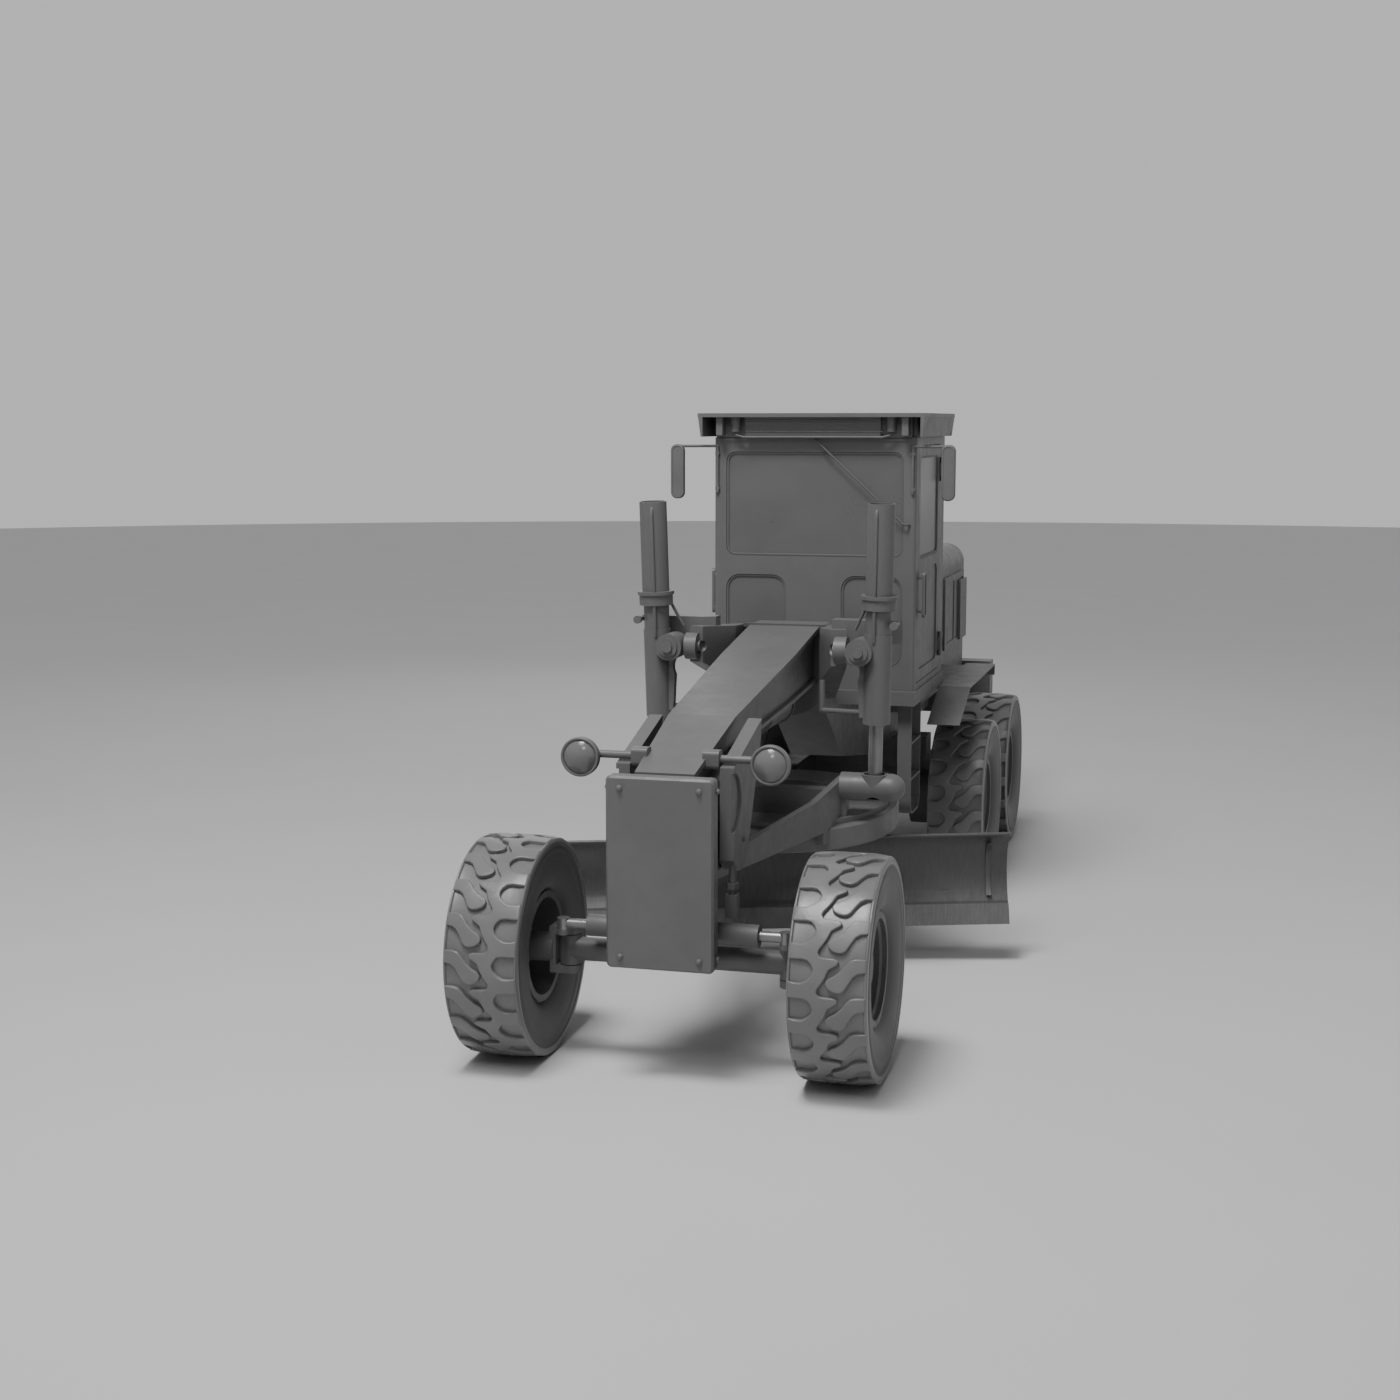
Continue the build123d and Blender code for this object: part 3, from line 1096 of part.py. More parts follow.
side_len = cab_depth - 2 * CAB_WALL
for side, tag in LEFT_RIGHT:
    side_face = Plane(origin=(side * CAB_HALF_W, 0, 0), x_dir=(0, 1, 0), z_dir=(1, 0, 0))
    door_mid_y = (DOOR_FRONT_Y + DOOR_REAR_Y) / 2
    door_mid_z = (DOOR_LOW + DOOR_TOP) / 2
    with BuildPart() as cab_side:
        with BuildSketch(side_face):
            with Locations((cab_mid_y, (CAB_LOW + CAB_TOP) / 2)):
                Rectangle(side_len, CAB_TOP - CAB_LOW)
            with Locations((door_mid_y, door_mid_z)):
                Rectangle(DOOR_REAR_Y - DOOR_FRONT_Y + 2 * DOOR_GAP, DOOR_TOP - DOOR_LOW + 2 * DOOR_GAP, mode=Mode.SUBTRACT)
        extrude(amount=-side * CAB_WALL)
        for knuckle_z in HINGE_KNUCKLES:
            with BuildSketch(Plane.XY.offset(knuckle_z)):
                with Locations((side * DOOR_HINGE_X, DOOR_REAR_Y)):
                    Circle(13)
                with Locations((side * (CAB_HALF_W + 14), DOOR_REAR_Y + 34)):
                    Rectangle(32, 48)
                with Locations((side * DOOR_HINGE_X, DOOR_REAR_Y + 10)):
                    Rectangle(20, 20)
            extrude(amount=HINGE_H / 2)
    cab_side.part.label = f"cab_side_{tag}"
    export_step(cab_side.part, f"parts/cab_side_{tag}.step")

    with BuildPart() as cab_door:
        with BuildSketch(side_face):
            with Locations((door_mid_y, door_mid_z)):
                Rectangle(DOOR_REAR_Y - DOOR_FRONT_Y, DOOR_TOP - DOOR_LOW)
            with Locations((door_mid_y, (DOOR_GLASS_LOW + DOOR_GLASS_TOP) / 2)):
                RectangleRounded(
                    DOOR_REAR_Y - DOOR_FRONT_Y - 2 * DOOR_STILE,
                    DOOR_GLASS_TOP - DOOR_GLASS_LOW,
                    WINDOW_ROUND,
                    mode=Mode.SUBTRACT,
                )
        extrude(amount=-side * DOOR_T)
        with BuildSketch(side_face):
            with Locations((door_mid_y, (DOOR_LOW + DOOR_GLASS_LOW) / 2)):
                RectangleRounded(
                    DOOR_REAR_Y - DOOR_FRONT_Y - 2 * DOOR_STILE,
                    DOOR_GLASS_LOW - DOOR_LOW - 2 * DOOR_STILE,
                    WINDOW_ROUND,
                )
        extrude(amount=-side * 12, mode=Mode.SUBTRACT)
        with BuildSketch(side_face.offset(side * 30)):
            with Locations((DOOR_FRONT_Y + 60, HANDLE_Z - 20)):
                RectangleRounded(90, 330, 30)
                RectangleRounded(50, 290, 12, mode=Mode.SUBTRACT)
        extrude(amount=side * 20)
        with BuildSketch(side_face):
            with Locations(
                (DOOR_FRONT_Y + 25, HANDLE_Z + 100),
                (DOOR_FRONT_Y + 25, HANDLE_Z - 140),
            ):
                Circle(10)
        extrude(amount=side * 40)
        for hinge_z in HINGE_ZS:
            with BuildSketch(Plane.XY.offset(hinge_z - HINGE_H / 2)):
                with Locations((side * DOOR_HINGE_X, DOOR_REAR_Y)):
                    Circle(13)
                with Locations((side * (CAB_HALF_W - 2), DOOR_REAR_Y - 18)):
                    Rectangle(26, 36)
            extrude(amount=HINGE_H)
    cab_door.part.label = f"cab_door_{tag}"
    export_step(cab_door.part, f"parts/cab_door_{tag}.step")

    with BuildPart() as door_pane:
        with BuildSketch(side_face.offset(-side * DOOR_T / 2)):
            with Locations((door_mid_y, (DOOR_GLASS_LOW + DOOR_GLASS_TOP) / 2)):
                RectangleRounded(
                    DOOR_REAR_Y - DOOR_FRONT_Y - 2 * DOOR_STILE - 2 * SEAT,
                    DOOR_GLASS_TOP - DOOR_GLASS_LOW - 2 * SEAT,
                    WINDOW_ROUND,
                )
        extrude(amount=side * GLASS_T)
    door_pane.part.label = f"door_pane_{tag}"
    export_step(door_pane.part, f"parts/door_pane_{tag}.step")

    with BuildPart() as mirror:
        mirror_face = Plane(origin=(0, MIRROR_Y, 0), x_dir=(1, 0, 0), z_dir=(0, -1, 0))
        with BuildSketch(mirror_face):
            with Locations((side * MIRROR_X, MIRROR_Z)):
                RectangleRounded(MIRROR_W, MIRROR_H, MIRROR_W / 2 - 4)
        extrude(amount=-MIRROR_T)
        fillet(mirror.edges().group_by(Axis.Y)[0], 12)
        with BuildSketch(mirror_face):
            with Locations((side * MIRROR_X, MIRROR_Z)):
                RectangleRounded(MIRROR_W - 30, MIRROR_H - 30, MIRROR_W / 2 - 19)
        extrude(amount=-4, mode=Mode.SUBTRACT)
        tube_z = MIRROR_Z + MIRROR_H / 2 - 14
        tube_x = CAB_HALF_W - CORNER_R + 4
        tube_y = CAB_FRONT_Y - MIRROR_TUBE_R - 3
        reach = Vector(side * (MIRROR_X - 6), MIRROR_Y + MIRROR_T / 2, tube_z)
        bend = Vector(side * tube_x, tube_y, tube_z)
        foot = Vector(side * tube_x, tube_y, tube_z - MIRROR_FOOT)
        for start, stop in ((reach, bend), (bend, foot)):
            with BuildSketch(Plane(origin=start, z_dir=stop - start)):
                Circle(MIRROR_TUBE_R)
            extrude(amount=(stop - start).length)
        with Locations(bend):
            Sphere(MIRROR_TUBE_R)
        for clip in (60, MIRROR_FOOT - 20):
            with BuildSketch(Plane.XY.offset(tube_z - clip)):
                with Locations((side * tube_x, tube_y + 2)):
                    Rectangle(30, 2 * (CAB_FRONT_Y - tube_y - 2 - SEAT))
            extrude(amount=20)
    mirror.part.label = f"mirror_{tag}"
    export_step(mirror.part, f"parts/mirror_{tag}.step")

with BuildPart() as roof:
    roof_len = ROOF_REAR_Y - ROOF_FRONT_Y
    plate_low = ROOF_TOP - ROOF_PLATE
    with BuildSketch(Plane.XY.offset(plate_low)):
        with Locations((0, (ROOF_FRONT_Y + ROOF_REAR_Y) / 2)):
            Rectangle(2 * ROOF_HALF_W, roof_len)
        with Locations((0, (cab_mid_y + CAB_REAR_Y) / 2)):
            Rectangle(2 * CAB_HALF_W, CAB_REAR_Y - cab_mid_y)
    extrude(amount=ROOF_PLATE)
    with BuildSketch(Plane.XY.offset(CAB_TOP)):
        with Locations((0, (CAB_FRONT_Y - 20 + CAB_REAR_Y) / 2)):
            Rectangle(2 * ROOF_BODY_HALF_W, cab_depth + 20)
        with Locations((0, cab_mid_y)):
            Rectangle(2 * CAB_HALF_W - 10, cab_depth - 2 * CAB_WALL)
        with Locations((0, (ROOF_FRONT_Y + 90 + cab_mid_y) / 2)):
            Rectangle(2 * VENT_HALF_W, cab_mid_y - ROOF_FRONT_Y - 90)
    extrude(amount=plate_low - CAB_TOP)
    with BuildSketch(Plane(origin=(0, ROOF_FRONT_Y, 0), x_dir=(1, 0, 0), z_dir=(0, -1, 0))):
        for side in (1, -1):
            with BuildLine():
                Polyline(
                    (side * ROOF_HALF_W, ROOF_TOP - 2),
                    (side * (ROOF_HALF_W - ROOF_LEAN), CAB_TOP + 4),
                    (side * (ROOF_HALF_W - ROOF_LEAN - 14), CAB_TOP + 4),
                    (side * (ROOF_HALF_W - ROOF_SIDE - 10), ROOF_TOP - 2),
                    close=True,
                )
            make_face()
    extrude(amount=-roof_len)
    with BuildSketch(Plane.XY.offset(CAB_TOP + 14)):
        for side in (1, -1):
            with Locations((side * 666, (ROOF_FRONT_Y + 40 + CAB_FRONT_Y) / 2)):
                Rectangle(46, CAB_FRONT_Y - ROOF_FRONT_Y - 40)
            with Locations((side * (ROOF_BODY_HALF_W + ROOF_HALF_W - ROOF_SIDE) / 2, ROOF_REAR_Y - 60)):
                Rectangle(ROOF_HALF_W - ROOF_SIDE - ROOF_BODY_HALF_W + 20, 30)
    extrude(amount=plate_low - CAB_TOP - 14)
    with BuildSketch(Plane.XY.offset(CAB_TOP + 40)):
        for side in (1, -1):
            with Locations((side * 560, CAB_FRONT_Y - 60)):
                Circle(34)
    extrude(amount=plate_low - CAB_TOP - 40)
roof.part.label = "roof"
export_step(roof.part, "parts/roof.step")

with BuildPart() as seat:
    with BuildSketch(Plane.XY.offset(CAB_LOW)):
        with Locations((0, SEAT_Y)):
            Rectangle(300, 320)
    extrude(amount=330)
    with BuildSketch(Plane.XY.offset(CAB_LOW + 330)):
        with Locations((0, SEAT_Y - 20)):
            RectangleRounded(500, 500, 60)
    extrude(amount=110)
    with BuildSketch(Plane.YZ):
        with BuildLine():
            Polyline(
                (SEAT_Y + 140, CAB_LOW + 440),
                (SEAT_Y + 230, CAB_LOW + 1020),
                (SEAT_Y + 320, CAB_LOW + 1000),
                (SEAT_Y + 230, CAB_LOW + 420),
                (SEAT_Y + 140, CAB_LOW + 420),
                close=True,
            )
        make_face()
    extrude(amount=230, both=True)
seat.part.label = "seat"
export_step(seat.part, "parts/seat.step")

with BuildPart() as console:
    with BuildSketch(Plane.YZ):
        with BuildLine():
            Polyline(
                (CAB_FRONT_Y + 200, CAB_LOW),
                (CAB_FRONT_Y + 380, CAB_LOW),
                (CAB_FRONT_Y + 400, CAB_LOW + 700),
                (CAB_FRONT_Y + 300, CAB_LOW + 740),
                close=True,
            )
        make_face()
    extrude(amount=90, both=True)
    wheel_plane = Plane(origin=(0, CAB_FRONT_Y + 390, CAB_LOW + 800), x_dir=(1, 0, 0), z_dir=(0, 0.42, 0.91))
    with BuildSketch(wheel_plane.offset(-90)):
        Circle(22)
    extrude(amount=100)
    with BuildSketch(wheel_plane):
        Circle(210)
        Circle(186, mode=Mode.SUBTRACT)
        Rectangle(390, 34)
    extrude(amount=22)
console.part.label = "console"
export_step(console.part, "parts/console.step")

# Hood, grille, engine and exhaust
hood_len = HOOD_REAR_Y - HOOD_FRONT_Y
hood_front = Plane(origin=(0, HOOD_FRONT_Y, 0), x_dir=(-1, 0, 0), z_dir=(0, 1, 0))


with BuildPart() as hood:
    with BuildSketch(hood_front):
        with BuildSketch(mode=Mode.PRIVATE) as outline:
            with Locations((0, (HOOD_LOW + HOOD_TOP) / 2)):
                Rectangle(2 * HOOD_HALF_W, HOOD_TOP - HOOD_LOW)
            fillet(outline.vertices().group_by(Axis.Y)[-1], HOOD_ROUND)
        add(outline.sketch)
        with BuildSketch(mode=Mode.PRIVATE) as inside:
            with Locations((0, (HOOD_LOW + HOOD_TOP - HOOD_WALL) / 2)):
                Rectangle(2 * (HOOD_HALF_W - HOOD_WALL), HOOD_TOP - HOOD_LOW - HOOD_WALL)
            fillet(inside.vertices().group_by(Axis.Y)[-1], HOOD_ROUND - HOOD_WALL)
        add(inside.sketch, mode=Mode.SUBTRACT)
    extrude(amount=hood_len)
    for side in (1, -1):
        with BuildSketch(Plane.YZ.offset(side * HOOD_HALF_W)):
            with Locations((HOOD_FRONT_Y + 0.28 * hood_len, 1900), (HOOD_REAR_Y - 0.24 * hood_len, 1960)):
                RectangleRounded(0.4 * hood_len, 620, 20)
        extrude(amount=side * PANEL_PROUD)
        with BuildSketch(Plane.YZ.offset(side * (HOOD_HALF_W + PANEL_PROUD))):
            with Locations((HOOD_FRONT_Y + 0.28 * hood_len, 1900), (HOOD_REAR_Y - 0.24 * hood_len, 1960)):
                with GridLocations(0.19 * hood_len, 0, 2, 1):
                    RectangleRounded(0.17 * hood_len, 520, 14)
        extrude(amount=-side * PANEL_SUNK, mode=Mode.SUBTRACT)
        with BuildSketch(Plane.YZ.offset(side * HOOD_HALF_W)):
            with Locations((HOOD_REAR_Y - 0.09 * hood_len, HOOD_LOW + 515)):
                RectangleRounded(0.14 * hood_len, 530, 12)
        extrude(amount=side * LOUVRE_PROUD)
hood.part.label = "hood"
export_step(hood.part, "parts/hood.step")

with BuildPart() as grille:
    with BuildSketch(Plane(origin=(0, HOOD_REAR_Y, 0), x_dir=(-1, 0, 0), z_dir=(0, 1, 0))):
        with BuildSketch(mode=Mode.PRIVATE) as opening:
            with Locations((0, (HOOD_LOW + HOOD_TOP - HOOD_WALL) / 2)):
                Rectangle(2 * (HOOD_HALF_W - HOOD_WALL - SEAT), HOOD_TOP - HOOD_LOW - HOOD_WALL - 2 * SEAT)
            fillet(opening.vertices().group_by(Axis.Y)[-1], HOOD_ROUND - HOOD_WALL - SEAT)
        add(opening.sketch)
        with Locations((0, (HOOD_LOW + HOOD_TOP - HOOD_WALL) / 2)):
            with GridLocations(0, 62, 1, 13):
                Rectangle(2 * (HOOD_HALF_W - HOOD_WALL) - 120, 38, mode=Mode.SUBTRACT)
    extrude(amount=-40)
grille.part.label = "grille"
export_step(grille.part, "parts/grille.step")

with BuildPart() as engine:
    with BuildSketch(Plane.XY.offset(HOOD_LOW)):
        with Locations((0, HOOD_FRONT_Y + hood_len / 2 - 100)):
            Rectangle(620, 0.6 * hood_len)
    extrude(amount=780)
engine.part.label = "engine"
export_step(engine.part, "parts/engine.step")

with BuildPart() as exhaust:
    with BuildSketch(Plane.XY.offset(HOOD_TOP)):
        with Locations((STACK_X, STACK_Y)):
            Circle(STACK_R + 30)
    extrude(amount=40)
    with BuildSketch(Plane.XY.offset(HOOD_TOP + 40)):
        with Locations((STACK_X, STACK_Y)):
            Circle(STACK_R)
    extrude(amount=STACK_H)
    with BuildSketch(Plane.XY.offset(HOOD_TOP + 200)):
        with Locations((STACK_X, STACK_Y)):
            Circle(STACK_R - 8)
    extrude(amount=STACK_H, mode=Mode.SUBTRACT)
exhaust.part.label = "exhaust"
export_step(exhaust.part, "parts/exhaust.step")

# Rear frame with the frame under the cab and the rear bumper
frame_front_y = COLLAR_Y + COLLAR_LEN
with BuildPart() as rear_frame:
    with BuildSketch(Plane.YZ):
        with BuildLine():
            Polyline(
                (COLLAR_Y + COLLAR_LEN, 2100),
                (COLLAR_Y + COLLAR_LEN, 1700),
                (CAB_FRONT_Y + 150, 1180),
                (CAB_REAR_Y, FRAME_LOW),
                (HOOD_REAR_Y + 60, FRAME_LOW),
                (HOOD_REAR_Y + 60, FRAME_TOP),
                (CAB_REAR_Y, FRAME_TOP),
                (CAB_FRONT_Y + 300, CAB_LOW - FLOOR_T),
                (CAB_FRONT_Y - 60, CAB_LOW - FLOOR_T),
                (COLLAR_Y + COLLAR_LEN + 260, 2100),
                close=True,
            )
        make_face()
    extrude(amount=FRAME_HALF_W - 110, both=True)
    with BuildSketch(Plane.XY.offset(FRAME_TOP - 60)):
        with Locations((0, HOOD_FRONT_Y + hood_len / 2)):
            Rectangle(2 * HOOD_HALF_W, hood_len)
    extrude(amount=HOOD_LOW - FRAME_TOP + 60)
    with BuildSketch(Plane.XY.offset(FRAME_LOW - 60)):
        with Locations((0, (HOOD_REAR_Y + 60 + BUMPER_Y) / 2)):
            Rectangle(1500, BUMPER_Y - HOOD_REAR_Y - 60)
    extrude(amount=480)
    with BuildSketch(Plane.XY.offset(TOW_Z - TOW_JAW_H / 2)):
        with Locations((0, BUMPER_Y)):
            Rectangle(2 * TOW_HALF_W, 2 * TOW_DEEP)
    extrude(amount=TOW_JAW_H, mode=Mode.SUBTRACT)
    with BuildSketch(Plane.XY.offset(TOW_Z - 400)):
        with Locations((0, BUMPER_Y - TOW_DEEP / 2)):
            Circle(TOW_PIN_R)
    extrude(amount=800, mode=Mode.SUBTRACT)
    with BuildSketch(Plane.YZ):
        with Locations(((TANDEM_FRONT_Y + TANDEM_REAR_Y) / 2, AXLE_Z + 60)):
            Circle(150)
        with Locations(((TANDEM_FRONT_Y + TANDEM_REAR_Y) / 2, (FRAME_LOW + AXLE_Z + 60) / 2)):
            Rectangle(280, FRAME_LOW - AXLE_Z - 60)
    extrude(amount=CASE_HALF_X - CASE_W / 2, both=True)
rear_frame.part.label = "rear_frame"
export_step(rear_frame.part, "parts/rear_frame.step")

case_mid_y = (TANDEM_FRONT_Y + TANDEM_REAR_Y) / 2
for side, tag in LEFT_RIGHT:
    case_in = Plane.YZ.offset(side * (CASE_HALF_X - CASE_W / 2))
    with BuildPart() as tandem_case:
        with BuildSketch(case_in):
            with Locations((case_mid_y, AXLE_Z)):
                SlotOverall(TANDEM_REAR_Y - TANDEM_FRONT_Y + CASE_H, CASE_H)
        extrude(amount=side * CASE_W)
        for wheel_y in (TANDEM_FRONT_Y, TANDEM_REAR_Y):
            with BuildSketch(case_in):
                with Locations((wheel_y, AXLE_Z)):
                    Circle(HUB_R - 10)
            extrude(amount=side * (REAR_TRACK_HALF - HUB_INNER - RUN - CASE_HALF_X + CASE_W / 2))
            with BuildSketch(case_in):
                with Locations((wheel_y, AXLE_Z)):
                    Circle(WHEEL_BORE_R - SEAT)
            extrude(amount=side * (REAR_TRACK_HALF + HUB_SEAT - 2 - CASE_HALF_X + CASE_W / 2))
    tandem_case.part.label = f"tandem_case_{tag}"
    export_step(tandem_case.part, f"parts/tandem_case_{tag}.step")

    with BuildPart() as fender:
        with BuildSketch(Plane.YZ.offset(side * FENDER_IN)):
            with BuildLine():
                Polyline(
                    (FENDER_FRONT_Y, FENDER_Z),
                    (FENDER_REAR_Y, FENDER_Z),
                    (FENDER_REAR_Y, FENDER_Z - 90),
                    (FENDER_REAR_Y - FENDER_T, FENDER_Z - 90),
                    (FENDER_REAR_Y - FENDER_T, FENDER_Z - FENDER_T),
                    (FENDER_FRONT_Y + 6, FENDER_Z - FENDER_T),
                    (FENDER_FRONT_Y - FLAP_RUN + FENDER_T, FENDER_Z - FLAP_DROP - 6),
                    (FENDER_FRONT_Y - FLAP_RUN, FENDER_Z - FLAP_DROP),
                    close=True,
                )
            make_face()
        extrude(amount=side * (FENDER_OUT - FENDER_IN))
        with BuildSketch(Plane.XY.offset(FENDER_Z - FENDER_T - 50)):
            with Locations((side * (HOOD_HALF_W + FENDER_IN + 60) / 2, (CAB_REAR_Y + 40 + FENDER_REAR_Y - 40) / 2)):
                Rectangle(FENDER_IN + 60 - HOOD_HALF_W, FENDER_REAR_Y - CAB_REAR_Y - 80)
        extrude(amount=50)
    fender.part.label = f"fender_{tag}"
    export_step(fender.part, f"parts/fender_{tag}.step")

    with BuildPart() as ladder:
        with BuildSketch(Plane.YZ.offset(side * (LADDER_X - LADDER_T / 2))):
            with BuildSketch(mode=Mode.PRIVATE) as hoop:
                with Locations((LADDER_Y, (LADDER_LOW + CAB_LOW - FLOOR_T) / 2)):
                    Rectangle(LADDER_W, CAB_LOW - FLOOR_T - LADDER_LOW)
                fillet(hoop.vertices().group_by(Axis.Y)[0], LADDER_ROUND)
            add(hoop.sketch)
            with BuildSketch(mode=Mode.PRIVATE) as within:
                with Locations((LADDER_Y, (LADDER_LOW + LADDER_BAR + CAB_LOW - FLOOR_T) / 2)):
                    Rectangle(LADDER_W - 2 * LADDER_BAR, CAB_LOW - FLOOR_T - LADDER_LOW - LADDER_BAR)
                fillet(within.vertices().group_by(Axis.Y)[0], LADDER_ROUND - LADDER_BAR)
            add(within.sketch, mode=Mode.SUBTRACT)
            for step in (1, 2):
                with Locations((LADDER_Y, LADDER_LOW + step * LADDER_STEP)):
                    Rectangle(LADDER_W - LADDER_BAR, LADDER_BAR)
        extrude(amount=side * LADDER_T)
    ladder.part.label = f"ladder_{tag}"
    export_step(ladder.part, f"parts/ladder_{tag}.step")

LAMP_BACK = 108.0
LAMP_RIM = 9.0
LENS_R = LAMP_R - 16.0
LENS_RISE = 22.0
for side, tag in LEFT_RIGHT:
    lamp_axis = Axis((side * LAMP_X, LAMP_FACE_Y, LAMP_Z), (0, 1, 0))
    with BuildPart() as lamp:
        with BuildSketch(Plane.XY.offset(LAMP_Z)):
            with BuildLine():
                centre = Vector(side * LAMP_X, LAMP_FACE_Y)
                dome_top = centre + Vector(0, 4)
                dome_mid = centre + Vector(side * LENS_R * 0.6, 4 + LENS_RISE * 0.3)
                dome_end = centre + Vector(side * LENS_R, 4 + LENS_RISE)
                lens = ThreePointArc(dome_top, dome_mid, dome_end)
                lip_in = Line(lens @ 1, centre + Vector(side * LENS_R, 10))
                lip = ThreePointArc(
                    lip_in @ 1,
                    centre + Vector(side * (LAMP_R - LAMP_RIM), 0),
                    centre + Vector(side * LAMP_R, 12),
                )
                lip_out = Line(lip @ 1, centre + Vector(side * LAMP_R, 40))
                bowl = ThreePointArc(
                    lip_out @ 1,
                    centre + Vector(side * (LAMP_R - 26), 86),
                    centre + Vector(side * 42, LAMP_BACK + 14),
                )
                back = Line(bowl @ 1, centre + Vector(0, LAMP_BACK + 20))
                Line(back @ 1, dome_top)
            make_face()
        revolve(axis=lamp_axis)
        with BuildSketch(Plane.YZ.offset(side * (BEAM_HALF_W + LAMP_BLOCK_OUT + SEAT))):
            with Locations((LAMP_BAR_Y, LAMP_Z + 14)):
                Circle(LAMP_BAR_R)
        extrude(amount=side * (LAMP_X - BEAM_HALF_W - 60))
    lamp.part.label = f"lamp_{tag}"
    export_step(lamp.part, f"parts/lamp_{tag}.step")
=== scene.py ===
# %% [markdown]
# # A road grader, dressed for its portrait
# The steel of this machine is already solid: every plate, barrel and pane comes in
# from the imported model, in metres, with the machine's front towards -Y. What is made
# here is what a workshop would add last: moulded tyres, window seals, a wiper, small
# bolts and pipes, a seat, and the finish of each surface.
#
# Every step first says what the thing is on the real machine, then how it could be
# made, and why it is made the way it is.

# %% The frame
import bpy
import bmesh
import json
import math
from mathutils import Matrix, Vector


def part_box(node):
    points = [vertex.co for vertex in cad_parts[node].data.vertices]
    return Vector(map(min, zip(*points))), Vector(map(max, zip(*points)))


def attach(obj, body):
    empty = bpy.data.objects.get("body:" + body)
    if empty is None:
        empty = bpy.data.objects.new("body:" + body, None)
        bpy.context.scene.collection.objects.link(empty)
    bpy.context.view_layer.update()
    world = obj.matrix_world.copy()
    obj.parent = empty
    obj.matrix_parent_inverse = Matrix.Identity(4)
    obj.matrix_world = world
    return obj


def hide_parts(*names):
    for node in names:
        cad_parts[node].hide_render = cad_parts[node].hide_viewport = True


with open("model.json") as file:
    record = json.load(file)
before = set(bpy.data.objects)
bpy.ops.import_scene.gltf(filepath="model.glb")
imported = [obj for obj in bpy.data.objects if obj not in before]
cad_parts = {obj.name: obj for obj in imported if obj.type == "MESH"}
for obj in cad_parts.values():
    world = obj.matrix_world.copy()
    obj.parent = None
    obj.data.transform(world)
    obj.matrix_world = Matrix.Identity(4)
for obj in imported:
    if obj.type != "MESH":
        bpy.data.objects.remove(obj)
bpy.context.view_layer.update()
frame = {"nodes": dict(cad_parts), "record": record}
nodes = frame["nodes"]

# %% [markdown]
# ## The camera
# The machine is seen from its front left, a little to one side and from above head
# height. A wide lens from close by would blow up the front wheels, and a very long one
# would flatten the beam, so the lens is close to normal and stands well back.
#
# A camera can be turned by three angles, but they are hard to read later. Here the
# place of the eye and the way it looks are written down, and the rotation follows.

# %% Camera
EYE = Vector((2.990, -14.295, 3.585))
AZIMUTH = math.radians(15.17)
TILT = math.radians(7.82)
LENS_MM = 51.92
SENSOR_MM = 36.0

back = Vector((
    math.sin(AZIMUTH) * math.cos(TILT),
    -math.cos(AZIMUTH) * math.cos(TILT),
    math.sin(TILT),
))
camera_data = bpy.data.cameras.new("camera")
camera_data.lens = LENS_MM
camera_data.sensor_width = SENSOR_MM
camera = bpy.data.objects.new("camera", camera_data)
camera.location = EYE
camera.rotation_euler = (-back).to_track_quat("-Z", "Y").to_euler()
bpy.context.scene.collection.objects.link(camera)
bpy.context.scene.camera = camera
print("camera:", round(EYE.length, 2), "m away,", LENS_MM, "mm")

# %% [markdown]
# ## Lamps
# Grey metal shows its form by gradients, so the lamps are large disks. One high in
# front gives the tops their brightness and leaves the fronts in half shade. A small one
# lower down puts a glint on lenses and tread, and two weak ones keep the far sides
# readable. Point lamps would be simpler, but their hard shadows cut the form up.

# %% Lamps
AIM = Vector((0.0, 0.0, 1.2))
LAMPS = (
    # name, place, size in m, power in W
    ("key", (-1.5, -7.0, 12.5), 4.0, 1020.0),
    ("spark", (0.8, -10.8, 7.6), 2.4, 110.0),
    ("fill", (13.0, -2.5, 7.0), 8.0, 100.0),
    ("rear", (-5.0, 12.0, 8.0), 8.0, 120.0),
)


def put_lamp(lamp, shines_from):
    """A lamp shines along its own -Z, so its Z is turned to where the light is."""
    lamp.rotation_euler = shines_from.to_track_quat("Z", "Y").to_euler()
    bpy.context.scene.collection.objects.link(lamp)


for name, place, size, power in LAMPS:
    lamp_data = bpy.data.lights.new(name, "AREA")
    lamp_data.shape = "DISK"
    lamp_data.size = size
    lamp_data.energy = power
    lamp = bpy.data.objects.new(name, lamp_data)
    lamp.location = place
    put_lamp(lamp, Vector(place) - AIM)
print("area lamps:", len(LAMPS))

# %% [markdown]
# ## Daylight
# The disks alone leave the hollows between beam and blade too dark. More power would
# burn the tops, and a brighter world would take the shadows away. A sun with a wide
# angle lies between the two: it has a direction, and its shadow is as soft as haze.

# %% Daylight
SUN_STRENGTH = 0.85
SUN_SPREAD = math.radians(25)
SUN_FROM = Vector((-0.10, -0.42, 0.90))

sun_data = bpy.data.lights.new("daylight", "SUN")
sun_data.energy = SUN_STRENGTH
sun_data.angle = SUN_SPREAD
put_lamp(bpy.data.objects.new("daylight", sun_data), SUN_FROM)
print("daylight from:", tuple(round(part, 2) for part in SUN_FROM.normalized()))

# %% [markdown]
# ## Shader sums as plain Python
# A finish is a sum of patterns, and a tree of Math nodes hides the sum. A small class
# holds one output socket and turns `a * b + c` into those nodes. It overloads the
# operators from both sides, so that `1.0 - mask` works as well.

